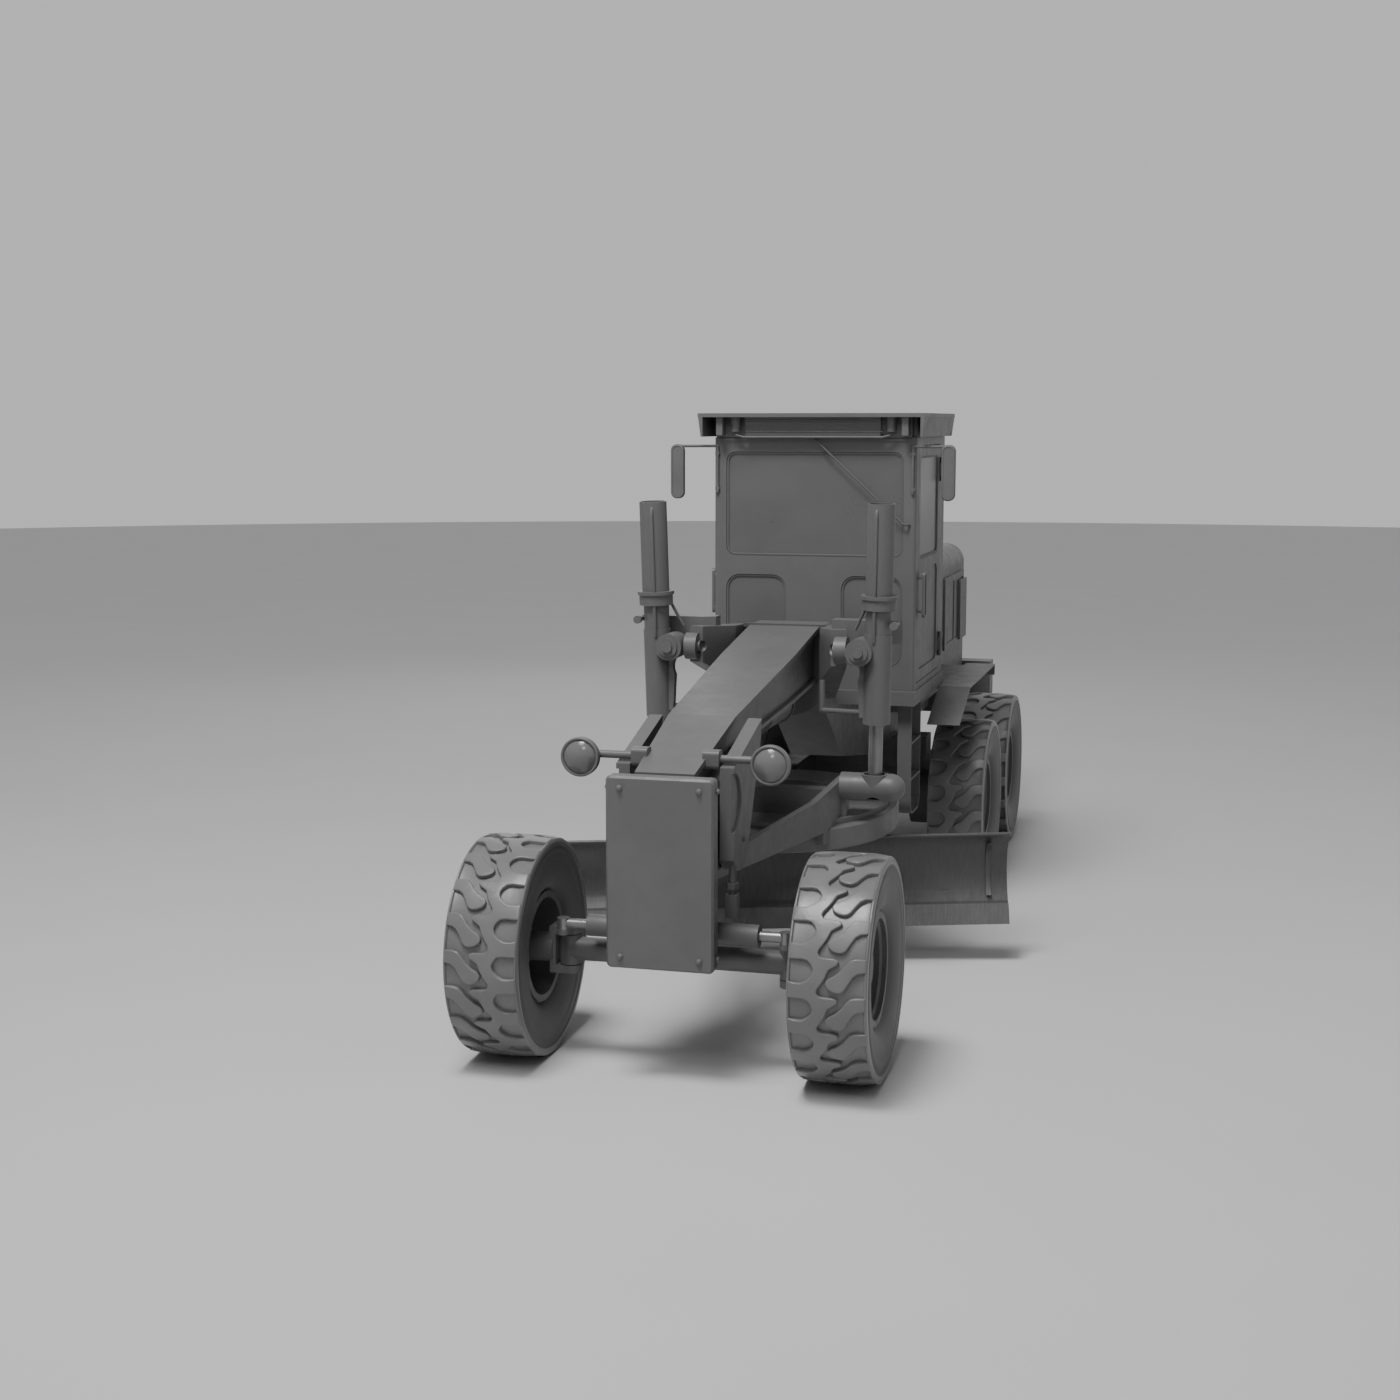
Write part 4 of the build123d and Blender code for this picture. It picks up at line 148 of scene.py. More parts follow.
# %% A socket that can be calculated with
class Value:
    def __init__(self, board, socket):
        self.board = board
        self.socket = socket

    def math(self, operation, other):
        return self.board.add("ShaderNodeMath", {"operation": operation}, self, other)

    def __add__(self, other):
        return self.math("ADD", other)

    def __sub__(self, other):
        return self.math("SUBTRACT", other)

    def __rsub__(self, other):
        return self.board.add("ShaderNodeMath", {"operation": "SUBTRACT"}, other, self)

    def __mul__(self, other):
        return self.math("MULTIPLY", other)

    __radd__ = __add__
    __rmul__ = __mul__

    def ramp(self, low, high):
        """0 below low, 1 above high and a smooth step between."""
        settings = {"interpolation_type": "SMOOTHSTEP", "data_type": "FLOAT"}
        return self.board.add("ShaderNodeMapRange", settings, Value=self, From_Min=low, From_Max=high)


print("sums are ready")

# %% [markdown]
# ## The board that holds the nodes
# Any node that isn't a sum comes from one method. It takes the node's type, its
# settings, which are set first because they can change the sockets, and then the
# values or links. A colour goes through a Mix node, as a Math node would turn it grey.

# %% One material's board
class Board:
    """One material's nodes, with its shader and its output in place."""

    def __init__(self, name):
        self.material = bpy.data.materials.new(name)
        self.material.use_nodes = True
        self.nodes = self.material.node_tree.nodes
        self.links = self.material.node_tree.links
        self.shader = self.nodes["Principled BSDF"]
        self.place = Value(self, self.nodes.new("ShaderNodeTexCoord").outputs["Object"])

    def feed(self, socket, value):
        if isinstance(value, Value):
            self.links.new(value.socket, socket)
        else:
            socket.default_value = value

    def add(self, kind, settings, *values, pick=0, **named):
        node = self.nodes.new(kind)
        for key, value in settings.items():
            setattr(node, key, value)
        for socket, value in zip(node.inputs, values):
            self.feed(socket, value)
        for key, value in named.items():
            self.feed(node.inputs[key.replace("_", " ")], value)
        return Value(self, node.outputs[pick])

    def noise(self, scale, detail=3.0, rough=0.55, at=None):
        return self.add(
            "ShaderNodeTexNoise", {}, Vector=at or self.place,
            Scale=scale, Detail=detail, Roughness=rough,
        )

    def blend(self, share, low, high):
        """A colour between two greys, or two colours."""
        node = self.nodes.new("ShaderNodeMix")
        node.data_type = "RGBA"
        self.feed(node.inputs["Factor"], share)
        self.feed(node.inputs["A"], low)
        self.feed(node.inputs["B"], high)
        return Value(self, node.outputs["Result"])

    def finish(self, colour, rough, height=None, depth=0.001, strength=1.0, **plain):
        self.feed(self.shader.inputs["Base Color"], colour)
        self.feed(self.shader.inputs["Roughness"], rough)
        for key, value in plain.items():
            self.shader.inputs[key.replace("_", " ")].default_value = value
        if height is not None:
            bump = self.add("ShaderNodeBump", {}, Height=height, Distance=depth, Strength=strength)
            self.feed(self.shader.inputs["Normal"], bump)
        return self.material


def grey(level):
    return (level, level, level, 1.0)


print("boards are ready")

# %% [markdown]
# ## The floor
# The machine stands on a flat pale sheet far wider than itself. A curved backdrop would
# hide the horizon, but a long machine then seems to float. A plane with a faint mottle
# grounds it, takes the shadow, and isn't one single flat colour.

# %% Floor
FLOOR_TONE = 0.72
FLOOR_SHADE = 0.94
FLOOR_ROUGH = 0.9
FLOOR_R = 60.0

floor_mesh = bpy.data.meshes.new("floor")
bm = bmesh.new()
bmesh.ops.create_circle(bm, cap_ends=True, segments=96, radius=FLOOR_R)
bm.to_mesh(floor_mesh)
bm.free()
floor = bpy.data.objects.new("floor", floor_mesh)
bpy.context.scene.collection.objects.link(floor)
board = Board("floor_sheet")
mottle = board.noise(scale=0.6, detail=2.0)
sheet = board.blend(mottle, grey(FLOOR_TONE), grey(FLOOR_TONE * FLOOR_SHADE))
floor_mesh.materials.append(board.finish(sheet, FLOOR_ROUGH))
print("floor:", 2 * FLOOR_R, "m across")

# %% [markdown]
# ## The world
# The world has two jobs that pull apart: it fills the shadows with a little even grey,
# and it is the pale ground behind the machine. One strength can't do both, so two
# backgrounds are mixed by the kind of ray. What the camera sees directly, in a mirror
# or through a pane is pale, and everything else gets the weak one.

# %% World
WORLD_TONE = 0.9
WORLD_STRENGTH = 0.17
PALE_TONE = 0.60
PALE_STRENGTH = 1.0

world = bpy.data.worlds.new("world")
world.use_nodes = True
bpy.context.scene.world = world
tree = world.node_tree


def background(node, tone, strength):
    node.inputs["Color"].default_value = grey(tone)
    node.inputs["Strength"].default_value = strength
    return node.outputs["Background"]


weak = background(tree.nodes["Background"], WORLD_TONE, WORLD_STRENGTH)
pale = background(tree.nodes.new("ShaderNodeBackground"), PALE_TONE, PALE_STRENGTH)
rays = tree.nodes.new("ShaderNodeLightPath")
seen = rays.outputs["Is Camera Ray"]
for kind in ("Is Glossy Ray", "Is Transmission Ray"):
    either = tree.nodes.new("ShaderNodeMath")
    either.operation = "MAXIMUM"
    tree.links.new(seen, either.inputs[0])
    tree.links.new(rays.outputs[kind], either.inputs[1])
    seen = either.outputs[0]
mixer = tree.nodes.new("ShaderNodeMixShader")
for socket, source in zip(mixer.inputs, (seen, weak, pale)):
    tree.links.new(source, socket)
tree.links.new(mixer.outputs[0], tree.nodes["World Output"].inputs["Surface"])
print("world nodes:", len(tree.nodes))

# %% [markdown]
# ## Painted steel
# The machine wears one satin grey coat. Up close such a coat is never even: it has a
# faint orange peel from the spray and broad patches where it has faded. The coat is also
# made darker in patches and towards the bottom, fading out above about two metres. A
# picture of paint could be laid over it, but it would stretch on every odd shape. Noise in
# space needs no unwrapping and gives all three at their own scales, and one function
# makes every coat from a tone and a roughness.

# %% Paint
FADED, FRESH, DARKENED = 0.93, 1.06, 0.72
DARKEN_HEIGHTS = (0.3, 2.2)
PAINT_SPECULAR = 0.38
PAINT_BUMP = 0.5


def painted(name, tone, rough, tone_drift=0.35, peel=0.0006):
    board = Board(name)
    fade = board.noise(scale=1.7, detail=4.0)
    patch = board.noise(scale=9.0, detail=5.0, rough=0.65)
    fine = board.noise(scale=240.0, detail=2.0)
    height_up = board.add("ShaderNodeSeparateXYZ", {}, board.place, pick=2)
    # darker in patches and towards the bottom: the coat is blended towards a darker grey, fading out
    # between 0.3 and 2.2 m up
    low_down = 1.0 - height_up.ramp(*DARKEN_HEIGHTS)
    darkening = (patch * 0.6 + low_down * 0.5).ramp(0.35, 0.95) * tone_drift
    body = board.blend(fade.ramp(0.3, 0.7), grey(tone * FADED), grey(tone * FRESH))
    colour = board.blend(darkening, body, grey(tone * DARKENED))
    gloss = patch.ramp(0.3, 0.75) * 0.14 + darkening * 0.25 + rough
    height = fine * 0.35 + patch * 0.65
    return board.finish(colour, gloss, height, peel, PAINT_BUMP, Specular_IOR_Level=PAINT_SPECULAR)


coat = painted("satin_coat", tone=0.140, rough=0.36)
cab_coat = painted("cab_coat", tone=0.136, rough=0.38, tone_drift=0.22)
casting = painted("rough_casting", tone=0.135, rough=0.38, tone_drift=0.4, peel=0.0016)
print("paints:", coat.name, cab_coat.name, casting.name)

# %% [markdown]
# ## Worn steel of the blade
# Soil polishes a blade. Long shallow dents catch the light along its length, and the
# scratches run the way the soil flows, up its face. Round noise would look like rust,
# so its space is squeezed across the blade before it is read. A low share of metal
# keeps the steel from turning into a mirror.

# %% Blade steel
SOIL_FLOW = (14.0, 2.5, 1.6)
DENT_DEPTH = 0.012
DENT_BUMP = 0.55
WORN_METAL = 0.25


def blade_steel(name, tone, rough):
    board = Board(name)
    stretched = board.add("ShaderNodeMapping", {}, Vector=board.place, Scale=SOIL_FLOW)
    scratch = board.noise(scale=6.0, detail=6.0, rough=0.7, at=stretched)
    dents = board.noise(scale=3.2, detail=2.0)
    polish = board.noise(scale=2.1, detail=3.0).ramp(0.42, 0.6)
    colour = board.blend(scratch.ramp(0.35, 0.7), grey(tone * 0.86), grey(tone * 1.08))
    gloss = polish * -0.14 + scratch * 0.12 + rough
    height = dents * 0.86 + scratch * 0.14
    return board.finish(colour, gloss, height, DENT_DEPTH, DENT_BUMP, Metallic=WORN_METAL)


# the blade face's low tone is painted shade: the shadow of the machine above the blade is laid into its
# colour
blade_face_painted_shade = blade_steel("blade_steel", tone=0.085, rough=0.38)
# the edge's lighter tone is partly steel polished by soil and partly a painted highlight along the edge
edge_steel_painted_highlight = blade_steel("edge_steel_painted_highlight", tone=0.135, rough=0.30)
print("blade steels:", blade_face_painted_shade.name, edge_steel_painted_highlight.name)

# %% [markdown]
# ## Ground rods
# A hydraulic rod is ground and plated, so it is the smoothest metal here. Grinding
# leaves rings far too fine to model. A very fine noise in the bump breaks up the
# highlight as they do, and a film of oil changes the gloss over a hand's width.

# %% Rods
ROD_ROUGH = 0.2
RING_DEPTH = 0.0002
RING_BUMP = 0.3
PLATED_METAL = 0.55


def plated(name, tone):
    board = Board(name)
    film = board.noise(scale=5.0, detail=3.0)
    rings = board.noise(scale=420.0, detail=1.0)
    colour = board.blend(film.ramp(0.35, 0.7), grey(tone * 0.9), grey(tone * 1.1))
    gloss = film * 0.12 + ROD_ROUGH
    return board.finish(colour, gloss, rings, RING_DEPTH, RING_BUMP, Metallic=PLATED_METAL)


rod_steel = plated("rod_steel", tone=0.22)
print("rod:", rod_steel.name)

# %% [markdown]
# ## Panes and lenses
# The panes are solid grey plates here, glossier than the sheet metal round them. Real
# glass is never quite flat, so a slow swell in the bump bends what it mirrors, and a
# haze makes its gloss uneven. A lens is the same glass, only polished.

# %% Glass
SWELL_DEPTH = 0.0015
SWELL_BUMP = 0.25


def pane(name, tone, rough):
    board = Board(name)
    haze = board.noise(scale=2.4, detail=4.0)
    specks = board.noise(scale=60.0, detail=3.0)
    swell = board.noise(scale=1.6, detail=0.0)
    colour = board.blend(haze.ramp(0.3, 0.7), grey(tone * 0.94), grey(tone * 1.05))
    gloss = haze * 0.14 + specks * 0.06 + rough
    return board.finish(colour, gloss, swell, SWELL_DEPTH, SWELL_BUMP)


glass = pane("pane_glass", tone=0.125, rough=0.2)
lens_glass = pane("lens_glass", tone=0.165, rough=0.06)
print("glass:", glass.name, lens_glass.name)

# %% [markdown]
# ## Rubber, moulded plastic and cloth
# All of these scatter light and carry a fine grain, and only the size of the grain
# tells them apart: coarse on rubber, fine on plastic, finest on woven cloth. One
# function takes that size. The tread is glossier than the flanks, which soil keeps dull,
# and the flanks are given half the tread's tone as painted shade on the tyre's sides.

# %% Matt finishes
GRAIN_BUMP = 0.6
DUST_TONE = 1.12


def matt(name, tone, rough, grain, depth):
    board = Board(name)
    grit = board.noise(scale=grain, detail=4.0, rough=0.65)
    tone_drift = board.noise(scale=4.0, detail=4.0).ramp(0.4, 0.68)
    colour = board.blend(tone_drift, grey(tone), grey(tone * DUST_TONE))
    return board.finish(colour, grit * 0.12 + tone_drift * 0.08 + rough, grit, depth, GRAIN_BUMP)


tyre_rubber = matt("tyre_rubber", tone=0.165, rough=0.25, grain=55.0, depth=0.0014)
# the flanks' tone, half the tread's, is painted shade on the tyre's sides
flank_rubber_painted_shade = matt("flank_rubber_painted_shade", tone=0.080, rough=0.45, grain=55.0, depth=0.0012)
seal_rubber = matt("seal_rubber", tone=0.105, rough=0.5, grain=140.0, depth=0.0006)
moulding = matt("moulded_plastic", tone=0.125, rough=0.42, grain=190.0, depth=0.0005)
seat_cloth = matt("seat_cover", tone=0.105, rough=0.7, grain=420.0, depth=0.0012)
print("materials:", len(bpy.data.materials))

# %% [markdown]
# ## Finishes on the solids
# The machine is made of sheet metal, castings, worn steel and glass, and each solid
# keeps its own mesh and only gets a finish. Naming all of them one by one would be a
# long list, so a short table says which beginnings of names take which finish, and
# whatever is left over is painted steel.

# %% Which solid wears what
FINISHES = (
    # beginnings of the names, finish
    (("cab_", "roof", "hood", "grille", "fender", "exhaust"), cab_coat),
    (("front_axle", "knuckle", "head", "tandem_case", "rim_", "drawbar"), casting),
    (("moldboard",), blade_face_painted_shade),
    (("cutting_edge",), edge_steel_painted_highlight),
    (("lift_rod", "steer_rod"), rod_steel),
    (("front_panes", "rear_pane", "door_pane"), glass),
    (("console", "mirror"), moulding),
    (("seat",), seat_cloth),
    (("tyre_",), tyre_rubber),
)
worn = {}
for name, node in nodes.items():
    finish = next((f for starts, f in FINISHES if name.startswith(starts)), coat)
    node.data.materials.clear()
    node.data.materials.append(finish)
    worn[finish.name] = worn.get(finish.name, 0) + 1
print("finishes:", worn)

# %% [markdown]
# ## A piece from a bmesh
# Every new piece goes through one door. Its doubles are merged first and its faces are
# turned outward after that, because loose faces can't tell which way is out. It is
# shaded smooth up to a sharp angle, and it rides on the body that carries it, with its
# object at the origin, so that a pattern in space stays where it is.

# %% Closing a piece
DOUBLE = 0.00002


def piece(bm, name, finish, body, smooth=40.0):
    bmesh.ops.remove_doubles(bm, verts=bm.verts, dist=DOUBLE)
    bmesh.ops.recalc_face_normals(bm, faces=bm.faces)
    mesh = bpy.data.meshes.new(name)
    bm.to_mesh(mesh)
    bm.free()
    mesh.materials.append(finish)
    mesh.polygons.foreach_set("use_smooth", [True] * len(mesh.polygons))
    mesh.set_sharp_from_angle(angle=math.radians(smooth))
    made = bpy.data.objects.new(name, mesh)
    bpy.context.scene.collection.objects.link(made)
    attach(made, body)
    print(name, "rides on", body, "faces:", len(mesh.polygons))
    return made


print("pieces are closed at", DOUBLE, "m")

# %% [markdown]
# ## Helpers for shapes
# A few small steps come back again and again. A row of points is joined and turned
# through a full circle, as on a lathe. The edges of a fresh shape are gathered, and one
# bmesh is poured into another. And a place on the machine is read from the box of the
# solid that is there, which keeps the pieces on their solids if the machine changes.

# %% Turned, poured and placed
AXLES = ("front", "middle", "rear")
SIDE = {"left": 1, "right": -1}


def turned(bm, points, axis, steps, closed=False):
    verts = [bm.verts.new(p) for p in points]
    pairs = list(zip(verts, verts[1:]))
    if closed:
        pairs.append((verts[-1], verts[0]))
    edges = [bm.edges.new(pair) for pair in pairs]
    bmesh.ops.spin(
        bm, geom=verts + edges, cent=(0, 0, 0), axis=axis,
        angle=math.tau, steps=steps, use_merge=True,
    )


def edges_of(verts):
    """Each edge at these vertices once, in an order that is the same every run."""
    return list(dict.fromkeys(e for v in verts for e in v.link_edges))


def pour(bm, other):
    loose = bpy.data.meshes.new("loose")
    other.to_mesh(loose)
    other.free()
    bm.from_mesh(loose)
    bpy.data.meshes.remove(loose)


def corners(name):
    return [Vector(corner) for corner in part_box(name)]


def hub_of(axle, tag):
    low, high = corners(f"tyre_{axle}_{tag}")
    return (low + high) / 2


print("front left hub:", tuple(round(part, 3) for part in hub_of("front", "left")))

# %% [markdown]
# ## The tyres: sizes
# The real tyre is a moulding, and its tread has two halves. Outward of the middle,
# separate bars leave the shoulder level and then curl down into blunt fingers. Inward
# of it runs one unbroken band with a pocket between each pair of ribs, and its short
# pointed fingers reach back between the blunt ones. A winding groove parts the two.
#
# A tread could be a bump, but its outline against the light would stay round, and the
# outline is what makes it a tyre. So it is real geometry, drawn flat for one pitch:
# a bar, and the band's two edges, the pockets' and the groove's.

# %% Casing sizes
TYRE_R = 0.630
CASING = (
    # across the tyre, radius
    (0.000, TYRE_R - 0.025),
    (0.120, TYRE_R - 0.026),
    (0.170, TYRE_R - 0.030),
    (0.194, TYRE_R - 0.026),
    (0.201, TYRE_R - 0.015),
    (0.208, TYRE_R - 0.014),
    (0.2128, TYRE_R - 0.022),
    (0.2140, TYRE_R - 0.040),
    (0.2140, TYRE_R - 0.054),
    (0.2095, TYRE_R - 0.060),
    (0.2095, TYRE_R - 0.070),
    (0.2140, TYRE_R - 0.077),
    (0.2130, TYRE_R - 0.125),
    (0.2100, TYRE_R - 0.132),
    (0.2110, TYRE_R - 0.146),
    (0.2035, TYRE_R - 0.205),
    (0.1900, TYRE_R - 0.258),
    (0.1740, TYRE_R - 0.286),
    (0.1500, TYRE_R - 0.306),
    (0.1500, TYRE_R - 0.338),
)
print("casing:", 2 * max(x for x, r in CASING), "m wide")

# %% Tread sizes
PITCHES = 19
PITCH = math.tau * TYRE_R / PITCHES
SHOULDER = 0.207
OUTER_BAR = (
    # across from the middle with outward negative, down along the tread
    (-SHOULDER, -0.036), (-0.150, -0.034), (-0.124, -0.026), (-0.104, -0.006),
    (-0.078, 0.030), (-0.046, 0.058), (-0.014, 0.076), (0.000, 0.090), (0.005, 0.106),
    (0.001, 0.122), (-0.012, 0.136), (-0.036, 0.148), (-0.062, 0.153), (-0.084, 0.148),
    (-0.101, 0.132), (-0.118, 0.100), (-0.140, 0.064), (-0.166, 0.044), (-SHOULDER, 0.038),
)
POCKET_EDGE = (
    # across, down: the lower edge of one pocket, then the upper edge of the next
    (0.0735, -0.010), (0.0800, 0.018), (0.105, 0.046), (0.137, 0.063), (0.173, 0.063),
    (SHOULDER, 0.054), (SHOULDER, PITCH - 0.062), (0.130, PITCH - 0.063),
    (0.104, PITCH - 0.057), (0.084, PITCH - 0.036),
)
GROOVE_EDGE = (
    # across, down: the band's side of the groove, from its middle back over one pitch
    (-0.010, PITCH - 0.014), (-0.038, PITCH - 0.032), (-0.056, PITCH - 0.044),
    (-0.062, PITCH - 0.057), (-0.054, PITCH - 0.070), (-0.036, PITCH - 0.076),
    (0.026, PITCH - 0.078), (0.042, PITCH - 0.086), (0.050, PITCH - 0.102),
    (0.045, 0.088), (0.028, 0.064), (0.008, 0.032), (-0.001, 0.008),
)
SOFT_EDGE = (
    # how far in, how far up
    (0.0040, 0.0205),
    (0.0022, 0.0040),
    (0.0030, 0.0020),
    (0.0025, 0.0003),
)
TREAD_DEPTH = sum(rise for width, rise in SOFT_EDGE)
print("pitch:", round(PITCH, 4), "m, tread depth:", round(TREAD_DEPTH, 4), "m")

# %% [markdown]
# ## The casing
# Under the tread lies a plain ring with a crowned top, a bulged flank and a bead that
# meets the rim. It is the same all the way round, so one closed outline, mirrored about
# the middle, is spun round the axle.

# %% Casing
CASING_STEPS = 6 * PITCHES


def spun_casing():
    bm = bmesh.new()
    outline = [(-x, 0.0, r) for x, r in reversed(CASING)] + [(x, 0.0, r) for x, r in CASING[1:]]
    turned(bm, outline, axis=(1, 0, 0), steps=CASING_STEPS, closed=True)
    return bm


print("casing steps:", CASING_STEPS)

# %% [markdown]
# ## One pitch, flat
# A mould is cut with drafted walls and soft edges, so each outline is raised in a few
# small insets, and the walls lean and round off wherever the outline goes, also inside
# the pockets. The band has no end, so it is drawn over three pitches and trimmed to
# the middle one. Then everything is cut across into short strips, or it couldn't bend.

# %% Flat pitch
BAND_CUT = 0.038
BAND_SHIFT = 0.010
STRIPS = 10
ON_PLANE = 0.00001


def raised(outline):
    """An outline on flat ground, raised in small insets to full tread height."""
    bm = bmesh.new()
    top = [bm.faces.new([bm.verts.new((x, y, 0.0)) for x, y in outline])]
    for width, rise in SOFT_EDGE:
        bmesh.ops.inset_region(bm, faces=top, thickness=width, use_boundary=True, use_even_offset=True)
        bmesh.ops.translate(bm, verts=top[0].verts[:], vec=(0, 0, rise))
    return bm


def whole(bm):
    return bm.verts[:] + bm.edges[:] + bm.faces[:]


def cut_across(bm, y, **ends):
    bmesh.ops.bisect_plane(
        bm, geom=whole(bm), dist=ON_PLANE, plane_co=(0, y, 0), plane_no=(0, 1, 0), **ends,
    )


def flat_pitch():
    """The bar, and the band drawn over three pitches and trimmed to the middle one."""
    pockets = [(x, y + k * PITCH) for k in (-1, 0, 1) for x, y in POCKET_EDGE]
    groove = [(x, y + k * PITCH) for k in (1, 0, -1) for x, y in GROOVE_EDGE]
    band = raised(pockets + groove)
    bmesh.ops.translate(band, verts=band.verts, vec=(0, BAND_CUT + BAND_SHIFT, 0))
    bmesh.ops.triangulate(band, faces=band.faces[:])
    cut_across(band, BAND_CUT, clear_inner=True)
    cut_across(band, BAND_CUT + PITCH, clear_outer=True)
    bm = raised(OUTER_BAR)
    bmesh.ops.triangulate(bm, faces=bm.faces[:])
    pour(bm, band)
    for k in range(-STRIPS, 2 * STRIPS):
        cut_across(bm, BAND_CUT + k * PITCH / STRIPS)
    return bm


print("strips in a pitch:", STRIPS)

# %% [markdown]
# ## Rolled up
# The flat pitch is bent round the axle point by point: the way down becomes an angle,
# and the height becomes a radius that falls off towards the shoulders as the crown
# does. A curve modifier could bend it, but the crown would then need a second one.
# The bent pitch is repeated round the axle and poured together with the casing, and
# the flanks below the tread take the duller rubber, whose dark tone is painted shade.

# %% Treaded tyres
CROWN_DROP = 0.010
TREAD_WELD = 0.0002
TREAD_SMOOTH = 48.0
FLANK_IN = 0.050
PHASE = {"left": math.radians(21.2), "right": math.radians(11.7)}


def roll_up(bm, side, phase):
    for v in bm.verts:
        drop = CROWN_DROP * (abs(v.co.x) / SHOULDER) ** 4
        radius = TYRE_R - TREAD_DEPTH + v.co.z - drop
        angle = phase - v.co.y / TYRE_R
        v.co = Vector((side * v.co.x, radius * math.sin(angle), radius * math.cos(angle)))


def treaded_tyre(name, hub, body, tag):
    bm = flat_pitch()
    roll_up(bm, -SIDE[tag], PHASE[tag])
    bmesh.ops.spin(
        bm, geom=whole(bm), cent=(0, 0, 0), axis=(1, 0, 0),
        angle=math.tau * (PITCHES - 1) / PITCHES, steps=PITCHES - 1, use_duplicate=True,
    )
    bmesh.ops.remove_doubles(bm, verts=bm.verts, dist=TREAD_WELD)
    pour(bm, spun_casing())
    bmesh.ops.translate(bm, verts=bm.verts, vec=hub)
    made = piece(bm, name, tyre_rubber, body, smooth=TREAD_SMOOTH)
    # the faces below the tread take the rubber whose dark tone is painted shade
    made.data.materials.append(flank_rubber_painted_shade)
    for face in made.data.polygons:
        out = (face.center - hub).yz.length
        face.material_index = 1 if out < TYRE_R - FLANK_IN else 0
    return made


for axle in AXLES:
    for tag in SIDE:
        node = f"tyre_{axle}_{tag}"
        tyre = treaded_tyre(f"treaded_{axle}_{tag}", hub_of(axle, tag), f"wheel_{axle}_{tag}", tag)
        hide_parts(node)
print("tyre triangles:", sum(len(p.vertices) - 2 for p in tyre.data.polygons))

# %% [markdown]
# ## A window seal
# A pane sits in a rubber strip with rounded corners. A curve with a bevel would do for
# one, but its profile twists at the corners. Here a plain rectangle has its corners
# bevelled and its face inset, the middle goes, and the frame that is left is drawn out
# to the strip's depth and given a slight crest.

# %% A seal
SEAL_STRIP = 0.016
SEAL_DEPTH = 0.009
CREST_IN = 0.003
CREST_UP = 0.0015
CORNER_STEPS = 7


def seal(name, place, width, height, corner, body):
    """place carries the strip's plane: its z looks out of the cab."""
    bm = bmesh.new()
    outward = place.to_3x3()
    sized = place @ Matrix.Diagonal((width, height, 1.0, 1.0))
    bmesh.ops.create_grid(bm, x_segments=1, y_segments=1, size=0.5, matrix=sized)
    bmesh.ops.bevel(
        bm, geom=bm.verts[:], offset=corner, segments=CORNER_STEPS,
        profile=0.5, affect="VERTICES", material=-1,
    )
    middle = bm.faces[:]
    bmesh.ops.inset_region(bm, faces=middle, thickness=SEAL_STRIP, use_boundary=True, use_even_offset=True)
    bmesh.ops.delete(bm, geom=middle, context="FACES")
    out = bmesh.ops.extrude_face_region(bm, geom=bm.faces[:])
    top = [v for v in out["geom"] if isinstance(v, bmesh.types.BMVert)]
    bmesh.ops.translate(bm, verts=top, vec=outward @ Vector((0, 0, SEAL_DEPTH)))
    lids = [f for f in out["geom"] if isinstance(f, bmesh.types.BMFace)]
    bmesh.ops.inset_region(bm, faces=lids, thickness=CREST_IN, use_boundary=True, use_even_offset=True)
    crest = list(dict.fromkeys(v for f in lids for v in f.verts))
    bmesh.ops.translate(bm, verts=crest, vec=outward @ Vector((0, 0, CREST_UP)))
    return piece(bm, name, seal_rubber, body)


print("a seal is", SEAL_STRIP, "m wide")

# %% [markdown]
# ## A seal round every pane
# The front wall's panes are one node, so the seals have to find them. Points that hang
# together by edges make an island, and each island's box is one pane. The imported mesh
# is loose triangles, so a copy of it is merged first. A set has no order of its own, so
# the boxes are sorted, and every pane keeps its number from run to run. The wide panes
# have tighter corners than the small low ones.

# %% Seals on the cab
PANE_WELD = 0.00005
WIDE_PANE = 0.6
WIDE_CORNER = 0.070
SMALL_CORNER = 0.100
SEALS = (
    # node, body, way out of the cab
    ("front_panes", "chassis", Vector((0, -1, 0))),
    ("rear_pane", "chassis", Vector((0, 1, 0))),
    ("door_pane_left", "door_left", Vector((1, 0, 0))),
    ("door_pane_right", "door_right", Vector((-1, 0, 0))),
)


def facing(centre, outward, up=Vector((0, 0, 1))):
    """A plane at a point that looks along outward, its y up."""
    turn = Matrix((up.cross(outward), up, outward)).transposed().to_4x4()
    return Matrix.Translation(centre) @ turn


def pane_boxes(node):
    """The separate panes of a node, as (lowest corner, highest corner), from the top down."""
    boxes = []
    bm = bmesh.new()
    bm.from_mesh(nodes[node].data)
    bmesh.ops.remove_doubles(bm, verts=bm.verts, dist=PANE_WELD)
    left = set(bm.verts)
    while left:
        island, reached = set(), [left.pop()]
        while reached:
            v = reached.pop()
            island.add(v)
            near = {e.other_vert(v) for e in v.link_edges} & left
            left -= near
            reached += near
        boxes.append([
            Vector([pick(v.co[axis] for v in island) for axis in range(3)]) for pick in (min, max)
        ])
    bm.free()
    return sorted(boxes, key=lambda box: (round(-box[0].z, 3), box[0].x))


for node, body, outward in SEALS:
    for index, (low, high) in enumerate(pane_boxes(node)):
        size = high - low
        at = (low + high) / 2 + outward * abs(size.dot(outward)) / 2
        width = size.x if outward.y else size.y
        corner = WIDE_CORNER if width > WIDE_PANE else SMALL_CORNER
        seal(f"seal_{node}_{index}", facing(at, outward), width, size.z, corner, body)

